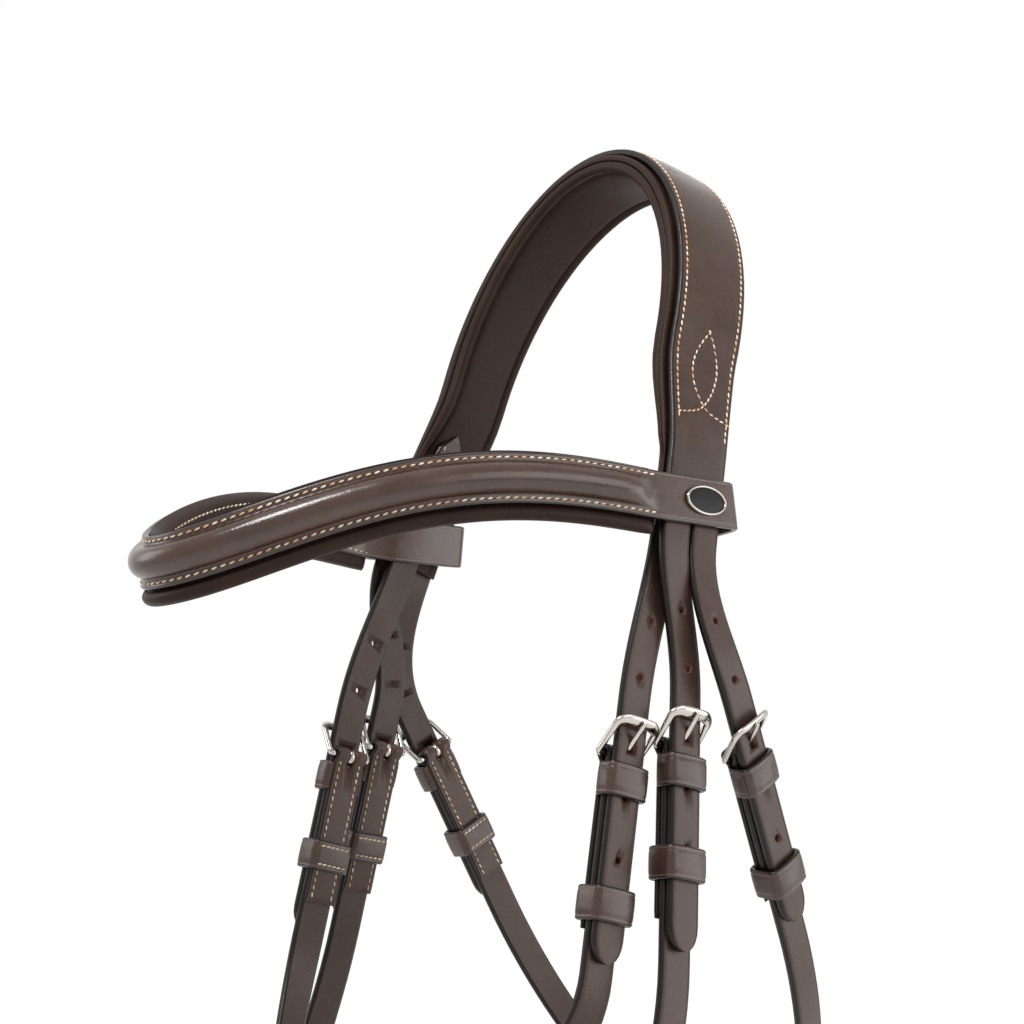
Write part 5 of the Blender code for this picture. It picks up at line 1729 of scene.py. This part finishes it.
@dataclass
class NosebandCheekpieces(LowerStrap):
    """The straps that carry the noseband, sewn over its outer side."""

    forward: float = 0.0300
    lap_seam: tuple[float, float] = (0.0012, 0.0150)

    def build(self, band: RaisedBand) -> None:
        """Build both sides.

        Args:
            band: The noseband that they are sewn to.
        """
        seat = NOSE.seat(ROUTE)
        rows = self.fold(seat, self.tail, self.straight)
        place = band.route.place(band.route.turn_at(self.forward))
        rise = band.thick + GAP + LOWER / 2
        lap = Place(place.at(0, rise, band.half_height + GAP), -place.side, place.out)
        rows += [(spot, LOWER) for spot in bend(rows[-1][0], lap, 22)]
        rows += [(lap.moved(run=run), LOWER * pared)
                 for run, pared in ((0.008, 1.0), (0.0150, 1.0), (0.0164, 0.85), (0.0170, 0.5))]
        for name, side in SIDES:
            strap = self.cut("noseband_cheekpiece_" + name, rows, [BUCKLE.fold_slot(seat)], side)
            fix_strap(strap, "noseband_cheekpiece_" + name)
            self.sew_tail(seat, self.tail, side)
            half, top = STRAP_WIDTH / 2 - 0.0020, LOWER / 2 + 0.0001
            first, last = self.lap_seam
            box = [lap.at(run, top, across) for run, across in
                   ((first, -half), (last, -half), (last, half), (first, half), (first, -half))]
            self.stitches.trace(box, [lap.out] * 5, side, SHAPE_PITCH)


@dataclass
class ChinStrap(LowerStrap):
    """The strap under the chin and the chape that carries its buckle."""

    buckle_back: float = 0.0480
    lap: float = 0.0140
    tip: float = 0.0440
    chape_tail: float = 0.0400
    runner_place: float = 0.0270

    def build(self, band: RaisedBand, head: Headpiece, stitches: dict[str, Stitching]) -> None:
        """Build both straps and their buckle.

        Args:
            band: The noseband that they are sewn to.
            head: The headpiece, which knows how a tip is cut.
            stitches: The bodies' stitches, by body.
        """
        end = band.route.place(math.pi / 2)
        seat = Place(end.at(self.buckle_back, band.thick + GAP + LOWER + GAP, 0), -end.along, end.out)
        lap = end.moved(run=-self.lap, rise=band.thick + GAP + BILLET / 2)
        far_lap = lap.mirrored()
        middle = seat.moved(rise=BILLET / 2)
        leave = middle.moved(run=-head.billet_lead)
        straight = far_lap.moved(run=self.lap + self.buckle_back + head.billet_lead)
        turn = bend(straight, leave, 44, 0.66)
        level = [Place(place.point, place.along, UP.cross(place.along).normalized()) for place in turn]
        outline = strap_outline(STRAP_WIDTH / 2, -BILLET / 2, BILLET / 2)
        start = [(far_lap, 0.5), (far_lap.moved(run=0.0008), 0.85), (far_lap.moved(run=0.0030), 1.0),
                 (far_lap.moved(run=0.035), 1.0), (straight, 1.0)]
        rings = [ring(place, outline, pared) for place, pared in start]
        rings += [ring(place, outline) for place in level]
        rings += head.tip_rings(middle, outline, self.tip)
        strap = skin("chin_strap_leather", rings, Finish.BRIDLE)
        cuts = [BUCKLE.tongue_slot(seat)]
        cuts += [HOLES.hole(seat.moved(run=HOLES.pitch * count - HOLES.tongue_rise), BILLET) for count in (1, 2)]
        fix_strap(punch(strap, cuts), "chin_strap")
        rows = self.fold(seat, self.chape_tail, self.buckle_back + self.lap)
        fix_strap(self.cut("chin_chape", rows, [BUCKLE.fold_slot(seat)], 1), "chin_chape")
        self.sew_tail(seat, self.chape_tail, 1)
        half = STRAP_WIDTH / 2 - 0.0021
        chape_lap = seat.moved(run=self.buckle_back + self.lap, rise=-GAP)
        for place, back, top in ((far_lap, 1, BILLET / 2 + 0.0001), (chape_lap, -1, 0.0001)):
            box = [place.at(back * run, top, across) for run, across in
                   ((0.0130, -half), (0.0015, -half), (0.0015, half), (0.0130, half))]
            self.stitches.trace(box, [place.out] * 4, 1, SHAPE_PITCH)
        BuckleSet("chin", seat, 1, self.runner_place, BILLET).build(stitches)


# Studio

@dataclass(frozen=True)
class SoftBox:
    """One large soft lamp."""

    name: str
    azimuth: float
    elevation: float
    distance: float
    size: float
    watts: float

    def build(self, aim: Vector) -> None:
        """Place the lamp and turn it to the aim."""
        lamp = bpy.data.lights.new(self.name, "AREA")
        lamp.shape, lamp.size, lamp.energy = "SQUARE", self.size, self.watts
        made = bpy.data.objects.new(self.name, lamp)
        way = aimed(self.azimuth, self.elevation)
        made.location = aim + way * self.distance
        made.rotation_euler = (-way).to_track_quat("-Z", "Y").to_euler()
        bpy.context.scene.collection.objects.link(made)


@dataclass
class Studio:
    """A white studio: floor, camera at the photograph's view and soft lamps."""

    azimuth: float = 47.3
    elevation: float = -8.0
    lens: float = 61.56
    sensor: float = 36.0
    near_clip: float = 0.01
    eye: Vector = field(default_factory=lambda: Vector((0.4721, -0.4504, -0.0871)))
    floor: float = -0.5600
    floor_size: float = 4.0
    floor_glow: float = 0.62
    world: float = 0.39
    lamps: tuple[SoftBox, ...] = (
        SoftBox("key_softbox", azimuth=20.0, elevation=55.0, distance=1.1, size=0.35, watts=11.0),
        SoftBox("near_softbox", azimuth=100.0, elevation=15.0, distance=1.2, size=0.70, watts=4.0),
        SoftBox("sheen_softbox", azimuth=134.0, elevation=-4.0, distance=1.2, size=0.80, watts=5.0),
        SoftBox("left_softbox", azimuth=-45.0, elevation=20.0, distance=1.2, size=0.60, watts=3.5),
        SoftBox("back_softbox", azimuth=215.0, elevation=40.0, distance=1.3, size=0.60, watts=0.8),
    )

    def white_for_camera(self, tree: bpy.types.NodeTree) -> bpy.types.NodeSocket:
        """Give 1 for rays that show the background: camera, glossy and transmission rays."""
        rays = add(tree, "ShaderNodeLightPath").outputs
        first = add(tree, "ShaderNodeMath", {"operation": "MAXIMUM"},
                    {0: rays["Is Camera Ray"], 1: rays["Is Glossy Ray"]})
        return add(tree, "ShaderNodeMath", {"operation": "MAXIMUM"},
                   {0: first.outputs[0], 1: rays["Is Transmission Ray"]}).outputs[0]

    def build(self) -> None:
        """Build the camera, the room, the floor and the lamps."""
        bpy.context.scene.view_settings.view_transform = "Standard"
        self.place_camera()
        self.light_room()
        self.lay_floor()
        for lamp in self.lamps:
            lamp.build(LOOP_CENTRE)

    def place_camera(self) -> None:
        """Place the camera where the photograph was taken from."""
        camera = bpy.data.cameras.new("photo_view")
        camera.lens, camera.sensor_width, camera.clip_start = self.lens, self.sensor, self.near_clip
        made = bpy.data.objects.new("photo_view", camera)
        made.location = LOOP_CENTRE + self.eye
        made.rotation_euler = aimed(self.azimuth, self.elevation).to_track_quat("Z", "Y").to_euler()
        bpy.context.scene.collection.objects.link(made)
        bpy.context.scene.camera = made

    def light_room(self) -> None:
        """Make a room that looks white and gives a softer light of its own."""
        world = bpy.data.worlds.new("white_room")
        bpy.context.scene.world = world
        world.use_nodes = True
        tree = world.node_tree
        strength = add(tree, "ShaderNodeMapRange",
                       links={"Value": self.white_for_camera(tree), "To Min": self.world, "To Max": 1.0})
        tree.links.new(strength.outputs[0], tree.nodes["Background"].inputs["Strength"])
        tree.nodes["Background"].inputs["Color"].default_value = (1.0, 1.0, 1.0, 1.0)

    def lay_floor(self) -> None:
        """Lay white paper below the bridle, bright enough to look like the background."""
        bm = bmesh.new()
        bmesh.ops.create_grid(bm, x_segments=2, y_segments=2, size=self.floor_size)
        bmesh.ops.translate(bm, vec=(0, 0, self.floor), verts=bm.verts)
        mesh = bpy.data.meshes.new("floor")
        bm.to_mesh(mesh)
        bm.free()
        floor = bpy.data.objects.new("floor", mesh)
        bpy.context.scene.collection.objects.link(floor)
        paper = Plain("matt_white_paper", colour="#f4f3f1", roughness=0.9, grain_mm=3.0, grain_depth_mm=0.02).make()
        shader = paper.node_tree.nodes["Principled BSDF"]
        shader.inputs["Emission Color"].default_value = (1.0, 1.0, 1.0, 1.0)
        lift = add(paper.node_tree, "ShaderNodeMapRange",
                   links={"Value": self.white_for_camera(paper.node_tree), "To Min": 0.0,
                          "To Max": self.floor_glow})
        paper.node_tree.links.new(lift.outputs[0], shader.inputs["Emission Strength"])
        mesh.materials.append(paper)


def main() -> None:
    """Build the bridle's pieces, sew them and light them."""
    logging.basicConfig(level=logging.INFO, format="%(name)s: %(message)s")
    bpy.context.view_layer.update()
    Studio().build()
    stitches = {"headstall": Stitching("headstall"), "browband": Stitching("browband")}
    head = Headpiece(stitches["headstall"])
    head.build()
    browband = Browband("browband", "browband", BROW_ROUTE, stitches["browband"], full_roll=math.radians(78),
                        no_roll=math.radians(85.5), lining_end=math.radians(85), seam_end=math.radians(84.5))
    browband.build()
    loop = BROW_ROUTE.place(math.pi / 2)
    Badge(loop.moved(run=LOOP_REACH + BADGE_BACK, rise=browband.thick + GAP)).build()
    noseband = RaisedBand("noseband", "headstall", NOSE_ROUTE, stitches["headstall"], full_roll=math.radians(54),
                          no_roll=math.radians(62), lining_end=math.radians(86), seam_end=math.radians(58))
    noseband.build_face()
    noseband.build_lining()
    noseband.sew()
    for station in (CHEEK, THROAT, NOSE):
        for name, side in SIDES:
            buckle = f"{station.name}_{name}"
            place = LOW_RUNNER_PLACE if buckle in LOW_RUNNERS else RUNNER_PLACE
            BuckleSet(buckle, station.seat(ROUTE), side, place, station.billet).build(stitches)
    Cheekpieces(stitches["headstall"]).build()
    Throatlatch(stitches["headstall"]).build()
    NosebandCheekpieces(stitches["headstall"]).build(noseband)
    ChinStrap(stitches["headstall"]).build(noseband, head, stitches)
    tree = stitch_tree()
    for body, rows in stitches.items():
        rows.build(tree, body + "_stitching", "strap_leather")
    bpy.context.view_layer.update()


if __name__ == "__main__":
    main()
